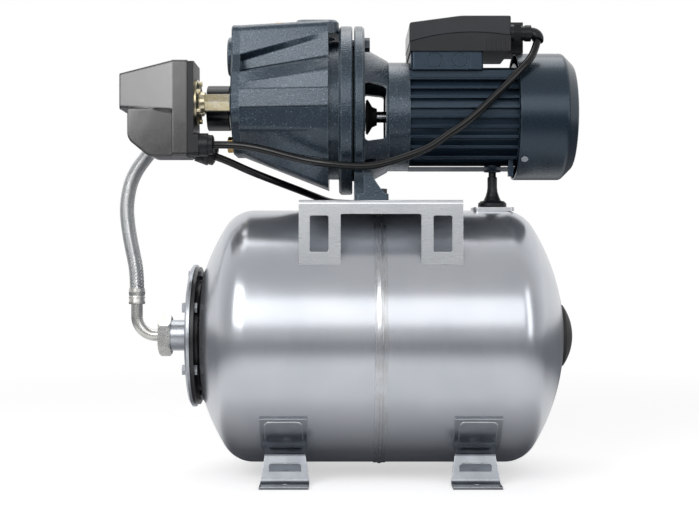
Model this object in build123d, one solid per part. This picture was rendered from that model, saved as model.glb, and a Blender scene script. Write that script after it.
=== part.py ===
# Booster pump set: a self-priming jet pump on a horizontal steel pressure tank.
# Millimetres. X runs along the shaft towards the motor fan, Y points away from the side
# that carries the cables, Z is up. The origin is on the floor, midway between the four feet.

import os
from math import acos, asin, atan2, cos, degrees, hypot, pi, radians, sin, sqrt, tan

from build123d import *

os.makedirs("parts", exist_ok=True)

# Pressure tank
tank_r = 135.0
tank_wall = 1.5
tank_straight = 133.5
knuckle_r = 35.0
crown_r = 222.0
belly_clearance = 13.0
seam_half_width = 6.5
seam_height = 0.8
neck_waist_r = 58.8
neck_foot_r = 73.0
neck_hole_r = 70.5
neck_bore_r = 55.0
neck_disc_r = 74.0
neck_disc_t = 4.0
neck_gap = 1.5
cover_plate_r = 76.5
cover_plate_t = 5.0
lip_t = 2.0
bladder_wall = 3.0
bladder_neck_r = 52.0
bladder_r = 118.0
bladder_half_len = 150.0
pipe_thread_r = 16.6
pipe_bore_r = 12.5
stub_len = 31.0
flange_bolt_pcd = 129.0
flange_bolt_count = 6
flange_bolt_r = 3.0
flange_bolt_flats = 10.0
flange_bolt_head = 4.0
flange_nut_t = 2.8
valve_cap_r = 33.0
valve_cap_depth = 13.0
valve_r = 4.0
valve_len = 9.0

# Feet
foot_x = 97.5
foot_hole_y = 91.0
foot_hole_r = 3.5
foot_sheet = 2.5
foot_width = 48.0
foot_neck_width = 41.0
foot_toe_width = 50.0
foot_toe_y = 105.0
foot_heel_y = 78.0
foot_knee_y = 71.0
foot_pad_high_y = 113.5
foot_pad_low_y = 79.5
emboss = 1.2

# Platform that carries the pump
platform_half_len = 82.0
platform_half_width = 111.0
platform_rise = 7.0
platform_sheet = 2.5
platform_leg_width = 41.7
platform_skirt = 65.0
platform_notch_drop = 14.0
platform_slot_width = 18.8
platform_slot_height = 36.3
platform_slot_drop = 15.6
platform_slot_edge = 10.9

# Shaft line and pump body
shaft_rise = 94.0
body_rise = 6.5
lantern_face_x = -26.5
lantern_flange_t = 10.8
flange_r = 90.5
gasket_t = 1.8
gasket_r = 75.8
gasket_width = 2.8
casing_flange_t = 14.3
casing_neck_len = 10.9
casing_neck_r = 74.0
barrel_len = 92.0
front_plate_t = 9.2
chamber_r = 66.0
chamber_len = 90.0
chamber_straight = 30.0
chamber_front_r = 42.0
chamber_wall = 7.0
gallery_len = 18.0
gallery_half_width = 17.0
suction_rise = 65.0
port_boss_r = 21.0
port_boss_len = 7.3
port_thread_r = 15.15
front_boss_len = 1.6
discharge_x = -62.0
discharge_boss_r = 24.0
discharge_top = 98.5
port_thread_len = 28.0
port_relief = 1.5
priming_x = -106.0
priming_boss_r = 11.5
priming_boss_top = 95.0
priming_thread_r = 6.6
plug_fit = 0.25
drain_drop = 30.0
casing_bolt_pcd = 160.0
casing_bolt_angle = 37.0
casing_bolt_r = 4.0
casing_bolt_flats = 13.0
casing_bolt_head = 5.5
casing_bolt_reach = 12.0

# Lantern bracket and motor front shield
lantern_window_half = 31.5
lantern_waist_r = 60.0
lantern_root_r = 74.0
lantern_wall = 12.0
shield_x = 9.0
shield_len = 23.0
shield_r = 58.5
foot_plate_half_width = 72.0
foot_plate_t = 8.0
pump_foot_hole_y = 60.0
pump_foot_hole_r = 4.5
foot_bolt_r = 4.0
foot_bolt_flats = 13.0
foot_bolt_head = 5.5

# Shaft, seal, bearings, impeller
shaft_r = 6.0
bearing_shaft_r = 7.5
core_shaft_r = 9.0
bearing_outer_r = 17.5
bearing_width = 11.0
running_gap = 0.4
seal_r = 13.0
impeller_r = 57.0
impeller_eye_r = 20.0
impeller_vanes = 6
impeller_vane_t = 2.5
diffuser_r = 63.5
ejector_r = 15.0
ejector_throat_r = 6.0
slinger_r = 19.0

# Motor
stator_len = 113.5
stator_bore_r = 50.0
stator_skin = 3.0
fin_r = 59.5
fin_pitch = 10.3
fin_t = 2.8
core_len = 75.0
core_gap = 0.5
rotor_r = 31.0
fan_cover_r = 68.0
fan_cover_len = 64.2
fan_cover_wall = 1.6
fan_cover_chamfer = 12.2
fan_r = 50.0
fan_blades = 7
fan_width = 20.0
stand_x = 123.0
stand_base_r = 15.3
stand_stem_r = 5.2

# Terminal box
box_x = 33.0
box_len = 76.0
box_half_width = 45.0
box_rise = 45.5
box_height = 18.9
box_floor_t = 3.0
box_seat_inset = 7.0
knockout_r = 8.2
lid_lap = 1.8
lid_overhang = 30.0
lid_block_len = 18.0
lid_block_y0 = -8.0
lid_block_y1 = 38.0
lid_half_width = 49.0
lid_low_rise = 94.0
lid_high_rise = 101.2
lid_wall = 2.5
capacitor_r = 14.0
capacitor_len = 60.0
capacitor_gap = 4.0
capacitor_y = 24.0
box_gland_y = -38.0
box_gland_rise = 84.2
box_gland_r = 6.2
elbow_lean = 24.5

# Pressure switch
switch_y = -43.5
switch_half_width = 30.0
switch_front_half = 22.0
switch_top_rise = 51.7
switch_bottom_drop = 47.7
switch_standoff = 43.5
switch_rim_depth = 15.6
switch_nose_depth = 55.0
switch_belly_depth = 46.0
switch_wall = 2.5
switch_base_t = 6.5
lever_drop = 31.0
lever_pin_r = 1.5
nipple_side = 2.0
nipple_rise = 10.1
nipple_flats = 17.0
nipple_thread_r = 6.5
gland_drop = 38.0
gland_step = 3.0
gland_spacing = 34.0
gland_tilt = 20.0
gland_r = 12.0
gland_len = 14.0
gland_nut_len = 6.0

# Pressure gauge
gauge_y = 14.0
gauge_rise = 11.0
gauge_r = 24.5
gauge_depth = 25.0
gauge_gap = 5.9

# Hose and cables
hose_r = 8.0
hose_tube_r = 6.2
hose_port_y = 53.5
hose_port_rise = 17.2
hose_end_gap = 21.2
elbow_reach = 29.3
elbow_rise = 51.0
elbow_bend_r = 21.0
cable_r = 4.0
coil_x = 5.0
coil_y = 137.0
coil_r = 44.0
plug_r = 19.0

# Places worked out from the sizes above
tank_z = belly_clearance + tank_r
crown_x = tank_straight - sqrt((crown_r - knuckle_r) ** 2 - (tank_r - knuckle_r) ** 2)
tank_end_x = crown_x + crown_r
platform_z = tank_z + tank_r + platform_rise
axis_z = platform_z + shaft_rise
body_z = axis_z + body_rise
casing_back_x = lantern_face_x - gasket_t
neck_x = casing_back_x - casing_flange_t
barrel_back_x = neck_x - casing_neck_len
barrel_front_x = barrel_back_x - barrel_len
casing_front_x = barrel_front_x - front_plate_t
stator_x = shield_x + shield_len
cover_x = stator_x + stator_len
core_x = stator_x + (stator_len - core_len) / 2
box_floor = axis_z + stator_bore_r + stator_skin + box_floor_t
box_gland_z = axis_z + box_gland_rise
nipple_z = axis_z + nipple_rise
boss_face_x = casing_front_x - front_boss_len
disc_front = -tank_end_x + neck_gap
disc_back = disc_front + neck_disc_t
plate_front = disc_front - cover_plate_t
stub_end = plate_front - stub_len
elbow_x = stub_end - elbow_reach
elbow_top = tank_z + elbow_rise
hose_port_z = axis_z + hose_port_rise
hose_end_x = casing_front_x - hose_end_gap
lid_x = box_x - lid_lap
lid_len = box_len + lid_overhang
switch_top = axis_z + switch_top_rise
switch_bottom = axis_z - switch_bottom_drop
switch_seam_x = casing_front_x - switch_standoff
nipple_y = switch_y - nipple_side
lever_z = axis_z - lever_drop
gland_z = axis_z - gland_drop


def crown_at(radius):
    """Distance of the crown's outer surface from the tank's middle, at a radius."""
    return crown_x + sqrt(crown_r**2 - radius**2)


def arc(x, y, radius, start, end):
    """Arc about a centre, angles in degrees."""
    points = [
        (x + radius * cos(radians(a)), y + radius * sin(radians(a)))
        for a in (start, (start + end) / 2, end)
    ]
    return ThreePointArc(*points)


def face_of(*edges):
    return make_face(Curve() + list(edges))


def outline(corners, plane=Plane.XY):
    """Closed face from (x, y, corner radius) triples."""
    points = [(x, y) for x, y, _ in corners]
    return plane * make_face(FilletPolyline(*points, radius=[r for _, _, r in corners], close=True))


def turned(points, y=0.0, z=0.0, radii=None):
    """Solid turned about an axis along X, from (x, radius) points."""
    if radii is None:
        face = Polygon(*points)
    else:
        face = make_face(FilletPolyline(*points, radius=radii, close=True))
    return Pos(0, y, z) * revolve(face, Axis.X)


def rod_x(radius, x0, x1, y=0.0, z=0.0):
    return Pos((x0 + x1) / 2, y, z) * Rot(0, 90, 0) * Cylinder(radius, abs(x1 - x0))


def rod_y(radius, y0, y1, x=0.0, z=0.0):
    return Pos(x, (y0 + y1) / 2, z) * Rot(90, 0, 0) * Cylinder(radius, abs(y1 - y0))


def rod_z(radius, z0, z1, x=0.0, y=0.0):
    return Pos(x, y, (z0 + z1) / 2) * Cylinder(radius, abs(z1 - z0))


def block(x0, x1, y0, y1, z0, z1):
    return Pos((x0 + x1) / 2, (y0 + y1) / 2, (z0 + z1) / 2) * Box(x1 - x0, y1 - y0, z1 - z0)


def along_x(sketch, x0, x1, y=0.0, z=0.0):
    """Solid from a sketch in (Y, Z), between two X places."""
    return extrude(Plane(origin=(x0, y, z), x_dir=(0, 1, 0), z_dir=(1, 0, 0)) * sketch, x1 - x0)


def along_y(sketch, y0, y1):
    """Solid from a sketch in (X, Z), between two Y places."""
    return extrude(Plane(origin=(0, y1, 0), x_dir=(1, 0, 0), z_dir=(0, -1, 0)) * sketch, y1 - y0)


def along_z(sketch, z0, z1, x=0.0, y=0.0):
    return Pos(x, y, z0) * extrude(sketch, z1 - z0)


def hexagon(flats, turn=0.0):
    return RegularPolygon(flats / 2, 6, major_radius=False, rotation=turn)


def write(name, shape):
    """Write one node: a solid, or several solids that share the node."""
    solids = shape.solids()
    node = solids[0] if len(solids) == 1 else Compound(children=list(solids))
    export_step(node, f"parts/{name}.step")


def cable_path(points):
    """Straight runs joined by tangent arcs, each as large as its two runs allow."""
    vectors = [Vector(*p) for p in points]
    radii = []
    for before, here, after in zip(vectors, vectors[1:], vectors[2:]):
        first, second = here - before, after - here
        turn = first.get_angle(second)
        radii.append(0.45 * min(first.length, second.length) / tan(radians(turn) / 2))
    return FilletPolyline(*points, radius=radii), radii


def tube_along(points, radius, label):
    path, radii = cable_path(points)
    section = Plane(origin=path @ 0, z_dir=path % 0) * Circle(radius)
    tube = sweep(section, path)
    expected = pi * radius**2 * path.length
    print(f"{label}: length {path.length:.0f}, least radius {min(radii):.0f},"
          f" volume ratio {tube.volume / expected:.4f}")
    print("   radii " + " ".join(f"{r:.0f}" for r in radii))
    return tube


# Pressure tank and what is in it

def half_shell(hole_r):
    """One drawn half of the tank on the +X side, with a round hole in its crown."""
    edges = []
    turn = degrees(acos((tank_r - knuckle_r) / (crown_r - knuckle_r)))
    ends = []
    for inset in (0.0, tank_wall):
        knuckle = arc(tank_straight, tank_r - knuckle_r, knuckle_r - inset, 90, 90 - turn)
        reach = crown_r - inset
        crown = arc(crown_x, 0, reach, 90 - turn, degrees(asin(hole_r / reach)))
        wall = Line((0, tank_r - inset), (tank_straight, tank_r - inset))
        edges += [wall, knuckle, crown]
        ends.append(((0, tank_r - inset), (crown_x + sqrt(reach**2 - hole_r**2), hole_r)))
    edges += [Line(ends[0][0], ends[1][0]), Line(ends[0][1], ends[1][1])]
    return Pos(0, 0, tank_z) * revolve(face_of(*edges), Axis.X)


def seam_band():
    """Lapped joint that the right half carries, a low band with a weld bead along its middle."""
    low, high, bead = tank_r, tank_r + seam_height, tank_r + 2 * seam_height
    profile = [
        (-seam_half_width, low), (-seam_half_width, high), (-2.2, high), (-1.2, bead),
        (1.2, bead), (2.2, high), (seam_half_width, high), (seam_half_width, low),
    ]
    return turned(profile, z=tank_z)


def tank_neck():
    """Welded neck in the left crown, waisted, with the disc that takes the cover plate."""
    hole_x, foot_x0 = -crown_at(neck_hole_r), -crown_at(neck_foot_r)
    waist_x = disc_back + flange_nut_t
    profile = [
        (disc_front, neck_bore_r), (disc_front, neck_disc_r), (disc_back, neck_disc_r),
        (disc_back, neck_waist_r), (waist_x, neck_waist_r), (hole_x - 1.2, neck_waist_r + 6),
        (hole_x - 0.4, neck_foot_r - 1.5), (foot_x0 - 0.3, neck_foot_r), (foot_x0 - 0.01, neck_foot_r),
        (hole_x - 0.01, neck_hole_r), (hole_x + 2.5, neck_hole_r - 0.05), (hole_x + 2.5, neck_bore_r),
    ]
    neck = turned(profile, z=tank_z)
    for y, z, _ in flange_bolt_places():
        neck -= rod_x(flange_bolt_r + 0.3, disc_front - 1, disc_back + 1, y, z)
    return neck


def flange_bolt_places():
    """Centres of the cover plate bolts, with the angle of each."""
    places = []
    for i in range(flange_bolt_count):
        angle = 360 / flange_bolt_count * (i + 0.5)
        y = flange_bolt_pcd / 2 * cos(radians(angle))
        z = flange_bolt_pcd / 2 * sin(radians(angle))
        places.append((y, tank_z + z, angle))
    return places


def cover_plate():
    """Bolted steel cover with its threaded stub; the bladder's lip sits in its recess."""
    front = plate_front
    lip_r = neck_bore_r + 4
    profile = [
        (stub_end, pipe_bore_r), (stub_end, pipe_thread_r - 1.2), (stub_end + 1.2, pipe_thread_r),
        (front - 1.5, pipe_thread_r), (front, pipe_thread_r + 1.5), (front, cover_plate_r - 3),
        (front + 2, cover_plate_r), (disc_front, cover_plate_r), (disc_front, lip_r),
        (disc_front - lip_t, lip_r), (disc_front - lip_t, pipe_bore_r),
    ]
    plate = turned(profile, z=tank_z)
    for y, z, _ in flange_bolt_places():
        plate -= rod_x(flange_bolt_r + 0.3, front - 1, disc_front + 1, y, z)
    return plate


def flange_fasteners():
    fasteners = []
    for y, z, angle in flange_bolt_places():
        head = along_x(hexagon(flange_bolt_flats, angle + 30), plate_front - flange_bolt_head,
                       plate_front, y, z)
        nut_end = disc_back + flange_nut_t
        fasteners.append(head + rod_x(flange_bolt_r, plate_front, nut_end, y, z))
        nut = along_x(hexagon(flange_bolt_flats, angle + 30), disc_back, nut_end, y, z)
        fasteners.append(nut - rod_x(flange_bolt_r + 0.02, disc_back - 1, nut_end + 1, y, z))
    return Compound(children=fasteners)


def bladder():
    """Rubber bladder: a pear held by the lip at its neck."""
    faces = []
    lip_x = disc_front - lip_t
    for inset in (0.0, bladder_wall):
        r_neck, r_body = bladder_neck_r - inset, bladder_r - inset
        end = bladder_half_len - inset
        shoulder_x = -crown_at(bladder_neck_r) + 8
        top = [
            Line((lip_x, r_neck), (shoulder_x, r_neck)),
            Spline((shoulder_x, r_neck), (-150, 0.78 * r_body), (-105, r_body),
                   tangents=((0.6, 0.8), (1, 0))),
            Line((-105, r_body), (40, r_body)),
            Spline((40, r_body), (115, 0.72 * r_body), (end, 0), tangents=((1, 0), (0, -1))),
            Line((end, 0), (lip_x, 0)),
            Line((lip_x, 0), (lip_x, r_neck)),
        ]
        faces.append(face_of(*top))
    body = revolve(faces[0], Axis.X) - revolve(faces[1], Axis.X)
    lip = turned([(lip_x, bladder_neck_r - bladder_wall), (disc_front, bladder_neck_r - bladder_wall),
                  (disc_front, neck_bore_r + 3.6), (lip_x, neck_bore_r + 3.6)])
    return Pos(0, 0, tank_z) * (body + lip)


def air_valve():
    base = crown_at(0)
    profile = [(base - 8, 0), (base - 8, valve_r + 2), (base + 1.5, valve_r + 2),
               (base + 1.5, valve_r), (base + valve_len, valve_r), (base + valve_len, 0)]
    return turned(profile, z=tank_z)


def valve_cap():
    """Domed plastic cap over the air valve, resting on the crown with a thin gap."""
    gap = 0.3
    seat = crown_r + gap
    apex = crown_x + seat + valve_cap_depth - 2
    rim_x = crown_x + sqrt(seat**2 - valve_cap_r**2)
    well_r = valve_r + 5
    height = apex - rim_x - 3
    dome_r = (valve_cap_r**2 + height**2) / (2 * height)
    dome = arc(apex - dome_r, 0, dome_r, degrees(asin(valve_cap_r / dome_r)), 0)
    under = arc(crown_x, 0, seat, degrees(asin(valve_cap_r / seat)), degrees(asin(well_r / seat)))
    well_x = crown_x + sqrt(seat**2 - well_r**2)
    inside = [Line((well_x, well_r), (apex - 2, well_r)), Line((apex - 2, well_r), (apex - 2, 0)),
              Line((apex - 2, 0), (apex, 0))]
    rim = Line((rim_x, valve_cap_r), (rim_x + 3, valve_cap_r))
    return Pos(0, 0, tank_z) * revolve(face_of(dome, under, rim, *inside), Axis.X)


# Feet and platform

def front_left_foot():
    """Stamped foot: a pad that hugs the tank, a folded leg and a toe on the floor."""
    half = foot_sheet / 2
    reach = tank_r + half
    high = degrees(asin(foot_pad_high_y / reach))
    low = degrees(asin(foot_pad_low_y / reach))
    pad = arc(0, tank_z, reach, -90 - high, -90 - low)
    start = (-reach * sin(radians(low)), tank_z - reach * cos(radians(low)))
    run = (start[0] + foot_knee_y) / -cos(radians(low))
    knee = (-foot_knee_y, start[1] - run * sin(radians(low)))
    leg = FilletPolyline(start, knee, (-foot_heel_y, half), (-foot_toe_y, half), radius=[4, 5])
    side = Plane(origin=(0, 0, 0), x_dir=(0, 1, 0), z_dir=(1, 0, 0))
    path = side * (Curve() + [pad, leg])
    section = Plane(origin=path @ 0, x_dir=(1, 0, 0), z_dir=path % 0) * Rectangle(
        foot_toe_width, foot_sheet)
    foot = sweep(section, path)
    top, neck_z = knee[1] + 60, knee[1] + 1
    half_w, half_n, half_t = foot_width / 2, foot_neck_width / 2, foot_toe_width / 2
    front_view = [
        (half_w, top, 1), (half_w, neck_z + 8, 3), (half_n, neck_z, 3), (half_t, 4, 3), (half_t, -4, 0),
        (-half_t, -4, 0), (-half_t, 4, 3), (-half_n, neck_z, 3), (-half_w, neck_z + 8, 3),
        (-half_w, top, 1),
    ]
    foot &= along_y(outline(front_view), -130, -40)
    leg_slope = degrees(asin((foot_heel_y - foot_knee_y) / hypot(foot_heel_y - foot_knee_y, knee[1])))
    middle = Pos(0, -(foot_knee_y + foot_heel_y) / 2 - half, knee[1] / 2 + 0.5)
    panel = middle * Rot(leg_slope, 0, 0) * Rot(90, 0, 0) * extrude(
        RectangleRounded(foot_neck_width - 8, 13, 3), emboss)
    ring = rod_x(tank_r + foot_sheet + emboss, -half_n + 1.5, half_n - 1.5, 0, tank_z) - rod_x(
        tank_r + foot_sheet - 0.2, -half_w, half_w, 0, tank_z)
    window = along_y(Pos(0, (start[1] + 74) / 2 + 1) * RectangleRounded(foot_neck_width - 3, 24, 5),
                     -130, -60)
    foot += panel
    foot += ring & window
    foot -= rod_z(foot_hole_r, -1, foot_sheet + 1, 0, -foot_hole_y)
    return Pos(-foot_x, 0, 0) * foot


def platform():
    """Bent sheet bridge on the tank: a flat top and two skirts cut into legs."""
    top, sheet = platform_z, platform_sheet
    w, drop = platform_half_width, platform_z - platform_skirt
    bend = 4.0
    corners = [
        (-w, drop, 0), (-w, top, bend), (w, top, bend), (w, drop, 0),
        (w - sheet, drop, 0), (w - sheet, top - sheet, bend - sheet),
        (-w + sheet, top - sheet, bend - sheet), (-w + sheet, drop, 0),
    ]
    bridge = along_x(outline(corners), -platform_half_len, platform_half_len)
    half_notch = platform_half_len - platform_leg_width
    bridge -= along_y(
        outline([(-half_notch, drop - 1, 0), (-half_notch, top - platform_notch_drop, 2),
                 (half_notch, top - platform_notch_drop, 2), (half_notch, drop - 1, 0)]),
        -w - 5, w + 5)
    slot_x = platform_half_len - platform_slot_edge - platform_slot_width / 2
    slot_z = top - platform_slot_drop - platform_slot_height / 2
    slot = RectangleRounded(platform_slot_width, platform_slot_height, 2)
    for side in (-1, 1):
        bridge -= along_y(Pos(side * slot_x, slot_z) * slot, -w - 5, w + 5)
        bridge -= rod_z(pump_foot_hole_r, top - 10, top + 1, 0, side * pump_foot_hole_y)
    return bridge - rod_x(tank_r + 0.05, -200, 200, 0, tank_z)


def stand_pad():
    """Small saddle plate on the tank under the motor's rear stand."""
    pad = block(stand_x - 22, stand_x + 22, -20, 20, tank_z + tank_r - 4, tank_z + tank_r + 3)
    pad = fillet(pad.edges().filter_by(Axis.Z), 6)
    return pad - rod_x(tank_r + 0.05, 0, 200, 0, tank_z)


# Pump body

def casing_section(deck, eave, groove, ledge_w, ledge_z, waist, rib_w, rib_z, keel, keel_z, deck_z):
    """Corner list of one cross section, mirrored about the middle plane."""
    band = body_z
    half = [
        (deck, deck_z, 9), (deck + 3, eave, 1.5), (groove, eave - 5, 2), (groove, ledge_z + 4, 2),
        (ledge_w, ledge_z, 1.5), (waist - 2, ledge_z - 12, 12), (waist, band + 16, 1),
        (waist + 2.5, band + 15, 0.8), (waist + 2.5, band - 3, 0.8), (waist, band - 4, 1),
        (waist - 5, band - 26, 14), (rib_w, rib_z, 1.5), (rib_w - 4, rib_z - 0.3, 1), (keel, keel_z, 12),
    ]
    return half + [(-y, z, r) for y, z, r in reversed(half)]


def pump_casing():
    """Cast jet pump body: a tapered, grooved barrel between a front plate and the flange."""
    front = dict(deck=48, eave=axis_z + 60, groove=41, ledge_w=61, ledge_z=axis_z + 40.6, waist=66,
                 rib_w=34, rib_z=axis_z - 33, keel=22, keel_z=axis_z - 43, deck_z=axis_z + 92.4)
    back = dict(deck=54, eave=axis_z + 84, groove=58, ledge_w=68, ledge_z=axis_z + 54.2, waist=80,
                rib_w=62, rib_z=axis_z - 49.5, keel=34, keel_z=axis_z - 78.8, deck_z=axis_z + 96.5)
    section = Plane(origin=(barrel_front_x, 0, 0), x_dir=(0, 1, 0), z_dir=(1, 0, 0))
    far = Plane(origin=(barrel_back_x, 0, 0), x_dir=(0, 1, 0), z_dir=(1, 0, 0))
    barrel = loft([outline(casing_section(**front), section), outline(casing_section(**back), far)],
                  ruled=True)
    plate_half = [
        (front["deck"], front["deck_z"], 9), (front["deck"] + 3, front["eave"], 4),
        (front["ledge_w"], front["ledge_z"], 6), (front["waist"] + 1, body_z + 10, 14),
        (front["waist"] + 1, body_z - 14, 20), (front["rib_w"], front["rib_z"], 10),
        (front["keel"], front["keel_z"], 12),
    ]
    plate = along_x(outline(plate_half + [(-y, z, r) for y, z, r in reversed(plate_half)]),
                    casing_front_x, barrel_front_x)
    plate = chamfer(plate.faces().sort_by(Axis.X)[0].edges(), 1.5)
    casing = barrel + plate
    casing += rod_x(casing_neck_r, barrel_back_x - 3, neck_x, 0, body_z)
    flange = turned([(neck_x, 0), (neck_x, flange_r - 2.5), (neck_x + 2.5, flange_r),
                     (casing_back_x - 1.5, flange_r), (casing_back_x, flange_r - 1.5),
                     (casing_back_x, 0)], z=body_z)
    casing += flange
    deck_x0 = discharge_x - discharge_boss_r - 3
    deck = along_z(Pos(0, 0) * RectangleRounded(neck_x - deck_x0, 84, 10), axis_z + 84,
                   axis_z + discharge_top, (deck_x0 + neck_x) / 2)
    deck = chamfer(deck.faces().sort_by(Axis.Z)[-1].edges(), 2.5)
    casing += deck
    casing += rod_z(priming_boss_r, axis_z + 86, axis_z + priming_boss_top, priming_x)
    suction_z = axis_z + suction_rise
    boss = turned([(casing_front_x - port_boss_len, 0), (casing_front_x - port_boss_len, port_boss_r - 1.5),
                   (casing_front_x - port_boss_len + 1.5, port_boss_r), (casing_front_x + 2, port_boss_r),
                   (casing_front_x + 2, 0)], z=suction_z)
    casing += boss
    for y, z, radius in front_bosses():
        casing += rod_x(radius, boss_face_x, casing_front_x + 2, y, z)
    return casing


def front_bosses():
    """Raised rings on the front plate round the switch, gauge, hose and drain holes."""
    return [(nipple_y, axis_z + nipple_rise, 10.5), (gauge_y, axis_z + gauge_rise, 9.5),
            (hose_port_y, hose_port_z, 10.0), (0, axis_z - drain_drop, 10.5)]


def bored_casing():
    """The casting with its suction gallery, pressure chamber, ports and threaded holes."""
    casing = pump_casing()
    chamber_front = casing_back_x - chamber_len
    chamber_knee = casing_back_x - chamber_straight
    gallery_back = chamber_front - chamber_wall
    gallery_front = gallery_back - gallery_len
    suction_z = axis_z + suction_rise
    inside_z = axis_z + chamber_front_r - 5
    casing -= turned([(chamber_front, 0), (chamber_front, chamber_front_r), (chamber_knee, chamber_r),
                      (casing_back_x + 1, chamber_r), (casing_back_x + 1, 0)], z=axis_z)
    casing -= rod_x(ejector_r + 0.05, gallery_back - 1, chamber_front + 1, 0, axis_z)
    casing -= block(gallery_front, gallery_back, -gallery_half_width, gallery_half_width,
                    axis_z, suction_z)
    for z in (axis_z, suction_z):
        casing -= rod_x(gallery_half_width, gallery_front, gallery_back, 0, z)
    casing -= rod_x(port_thread_r, casing_front_x - port_boss_len - 1, gallery_front + 1, 0, suction_z)
    thread_z = axis_z + discharge_top - port_thread_len
    casing -= rod_z(port_thread_r, thread_z, axis_z + discharge_top + 1, discharge_x)
    casing -= rod_z(port_thread_r + port_relief, inside_z, thread_z, discharge_x)
    casing -= rod_z(priming_thread_r + plug_fit, inside_z, axis_z + discharge_top + 1, priming_x)
    for y, z, _ in front_bosses():
        casing -= rod_x(nipple_thread_r + 0.02, casing_front_x - 3, casing_front_x + 9, y, z)
    for y, z in casing_bolt_places():
        casing -= rod_x(casing_bolt_r + 0.05, casing_back_x - casing_bolt_reach, casing_back_x + 1, y, z)
    return casing


def casing_gasket():
    outer, inner = gasket_r, gasket_r - gasket_width
    return turned([(casing_back_x, inner), (casing_back_x, outer), (lantern_face_x, outer),
                   (lantern_face_x, inner)], z=body_z)


def casing_bolt_places():
    """Centres of the four bolts through the lantern flange."""
    angle = radians(casing_bolt_angle)
    y, z = casing_bolt_pcd / 2 * sin(angle), casing_bolt_pcd / 2 * cos(angle)
    return [(i * y, body_z + k * z) for i in (-1, 1) for k in (-1, 1)]


def lantern_bracket():
    """Cast bracket: pump flange, open lantern, motor front shield and the foot below."""
    x0, x1 = lantern_face_x, lantern_face_x + lantern_flange_t
    bracket = turned([(x0, 0), (x0, flange_r - 1.5), (x0 + 1.5, flange_r), (x1 - 2.5, flange_r),
                      (x1, flange_r - 2.5), (x1, 0)], z=body_z)
    bracket += turned([(x1 - 1, 0), (x1 - 1, lantern_root_r), (shield_x, lantern_waist_r),
                       (shield_x + 1, shield_r), (shield_x + shield_len, shield_r),
                       (shield_x + shield_len, 0)], z=axis_z)
    cone = turned([(x1, 0), (x1, lantern_root_r - lantern_wall),
                   (shield_x - 0.5, lantern_waist_r - lantern_wall), (shield_x - 0.5, 0)], z=axis_z)
    bracket -= cone
    window = outline([(x1, axis_z - lantern_window_half, 4), (x1, axis_z + lantern_window_half, 4),
                      (shield_x - 2.3, axis_z + lantern_window_half - 4, 4),
                      (shield_x - 2.3, axis_z - lantern_window_half + 4, 4)])
    bracket -= along_y(window, -120, 120)
    bracket += rod_x(slinger_r - 4, x1 - 1, x1 + 1.5, 0, axis_z)
    pz, top = platform_z, platform_z + foot_plate_t
    w = foot_plate_half_width
    plate = along_z(RectangleRounded(shield_x - x0, 2 * w, 5), pz, top, (x0 + shield_x) / 2)
    web = along_x(Polygon((-w + 4, pz + 1), (w - 4, pz + 1), (50, axis_z - 45), (-50, axis_z - 45)),
                  x0, x1)
    bracket += plate + web
    rise = 26.0
    gusset = Polygon((x1 - 1, top - 1), (shield_x - 3, top - 1), (shield_x - 6, top + 2),
                     (x1 + 2, top + rise), (x1 - 1, top + rise))
    for y in (-w, -2.5, w - 5):
        bracket += along_y(gusset, y, y + 5)
    bearing_x = shield_x + 5
    bracket -= rod_x(bearing_outer_r + 0.02, bearing_x, stator_x + 1, 0, axis_z)
    bracket -= rod_x(stator_bore_r - 5, bearing_x + bearing_width, stator_x + 1, 0, axis_z)
    bracket += turned([(stator_x - 1, stator_bore_r - 4), (stator_x + 4, stator_bore_r - 4),
                       (stator_x + 4, stator_bore_r - 0.1), (stator_x - 1, stator_bore_r - 0.1)],
                      z=axis_z)
    bracket -= rod_x(shaft_r + 2.5, x0 - 1, shield_x + 10, 0, axis_z)
    bracket -= rod_x(seal_r + 0.05, x0 - 1, x0 + 6, 0, axis_z)
    for y, z in casing_bolt_places():
        bracket -= rod_x(casing_bolt_r + 0.3, x0 - 1, x1 + 1, y, z)
        bracket -= rod_x(casing_bolt_flats / 2 + 2.5, x1, x1 + 12, y, z)
    for side in (-1, 1):
        bracket -= rod_z(pump_foot_hole_r, pz - 1, top + 1, 0, side * pump_foot_hole_y)
    return bracket


def casing_bolts():
    back = lantern_face_x + lantern_flange_t
    bolts = []
    for y, z in casing_bolt_places():
        head = along_x(hexagon(casing_bolt_flats, 30), back, back + casing_bolt_head, y, z)
        bolts.append(head + rod_x(casing_bolt_r, casing_back_x - casing_bolt_reach + 1, back, y, z))
    return bolts


def pump_foot_bolts():
    """Bolts through the foot and the platform, each with a nut under the sheet."""
    top, under = platform_z + foot_plate_t, platform_z - platform_sheet
    bolts = []
    for side in (-1, 1):
        y = side * pump_foot_hole_y
        bolt = along_z(hexagon(foot_bolt_flats), top, top + foot_bolt_head, 0, y)
        bolt += rod_z(foot_bolt_r, under - 6, top, 0, y)
        bolt += along_z(hexagon(foot_bolt_flats), under - 5, under, 0, y)
        bolts.append(bolt)
    return bolts


def screw_plug(flats, head, reach, radius):
    """Hexagon plug standing on its collar, thread pointing down, collar at height 0."""
    plug = along_z(Circle(flats / 2 + 1), 0, 1.6)
    plug += chamfer(along_z(hexagon(flats), 1.6, 1.6 + head).faces().sort_by(Axis.Z)[-1].edges(), 0.8)
    return plug + rod_z(radius, -reach, 0)


def priming_plug():
    return Pos(priming_x, 0, axis_z + priming_boss_top) * screw_plug(15, 4.6, 11, priming_thread_r)


def drain_plug():
    face = boss_face_x
    return Pos(face, 0, axis_z - drain_drop) * Rot(0, -90, 0) * screw_plug(15, 5, 9.5, nipple_thread_r)


# Wet end and shaft

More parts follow.
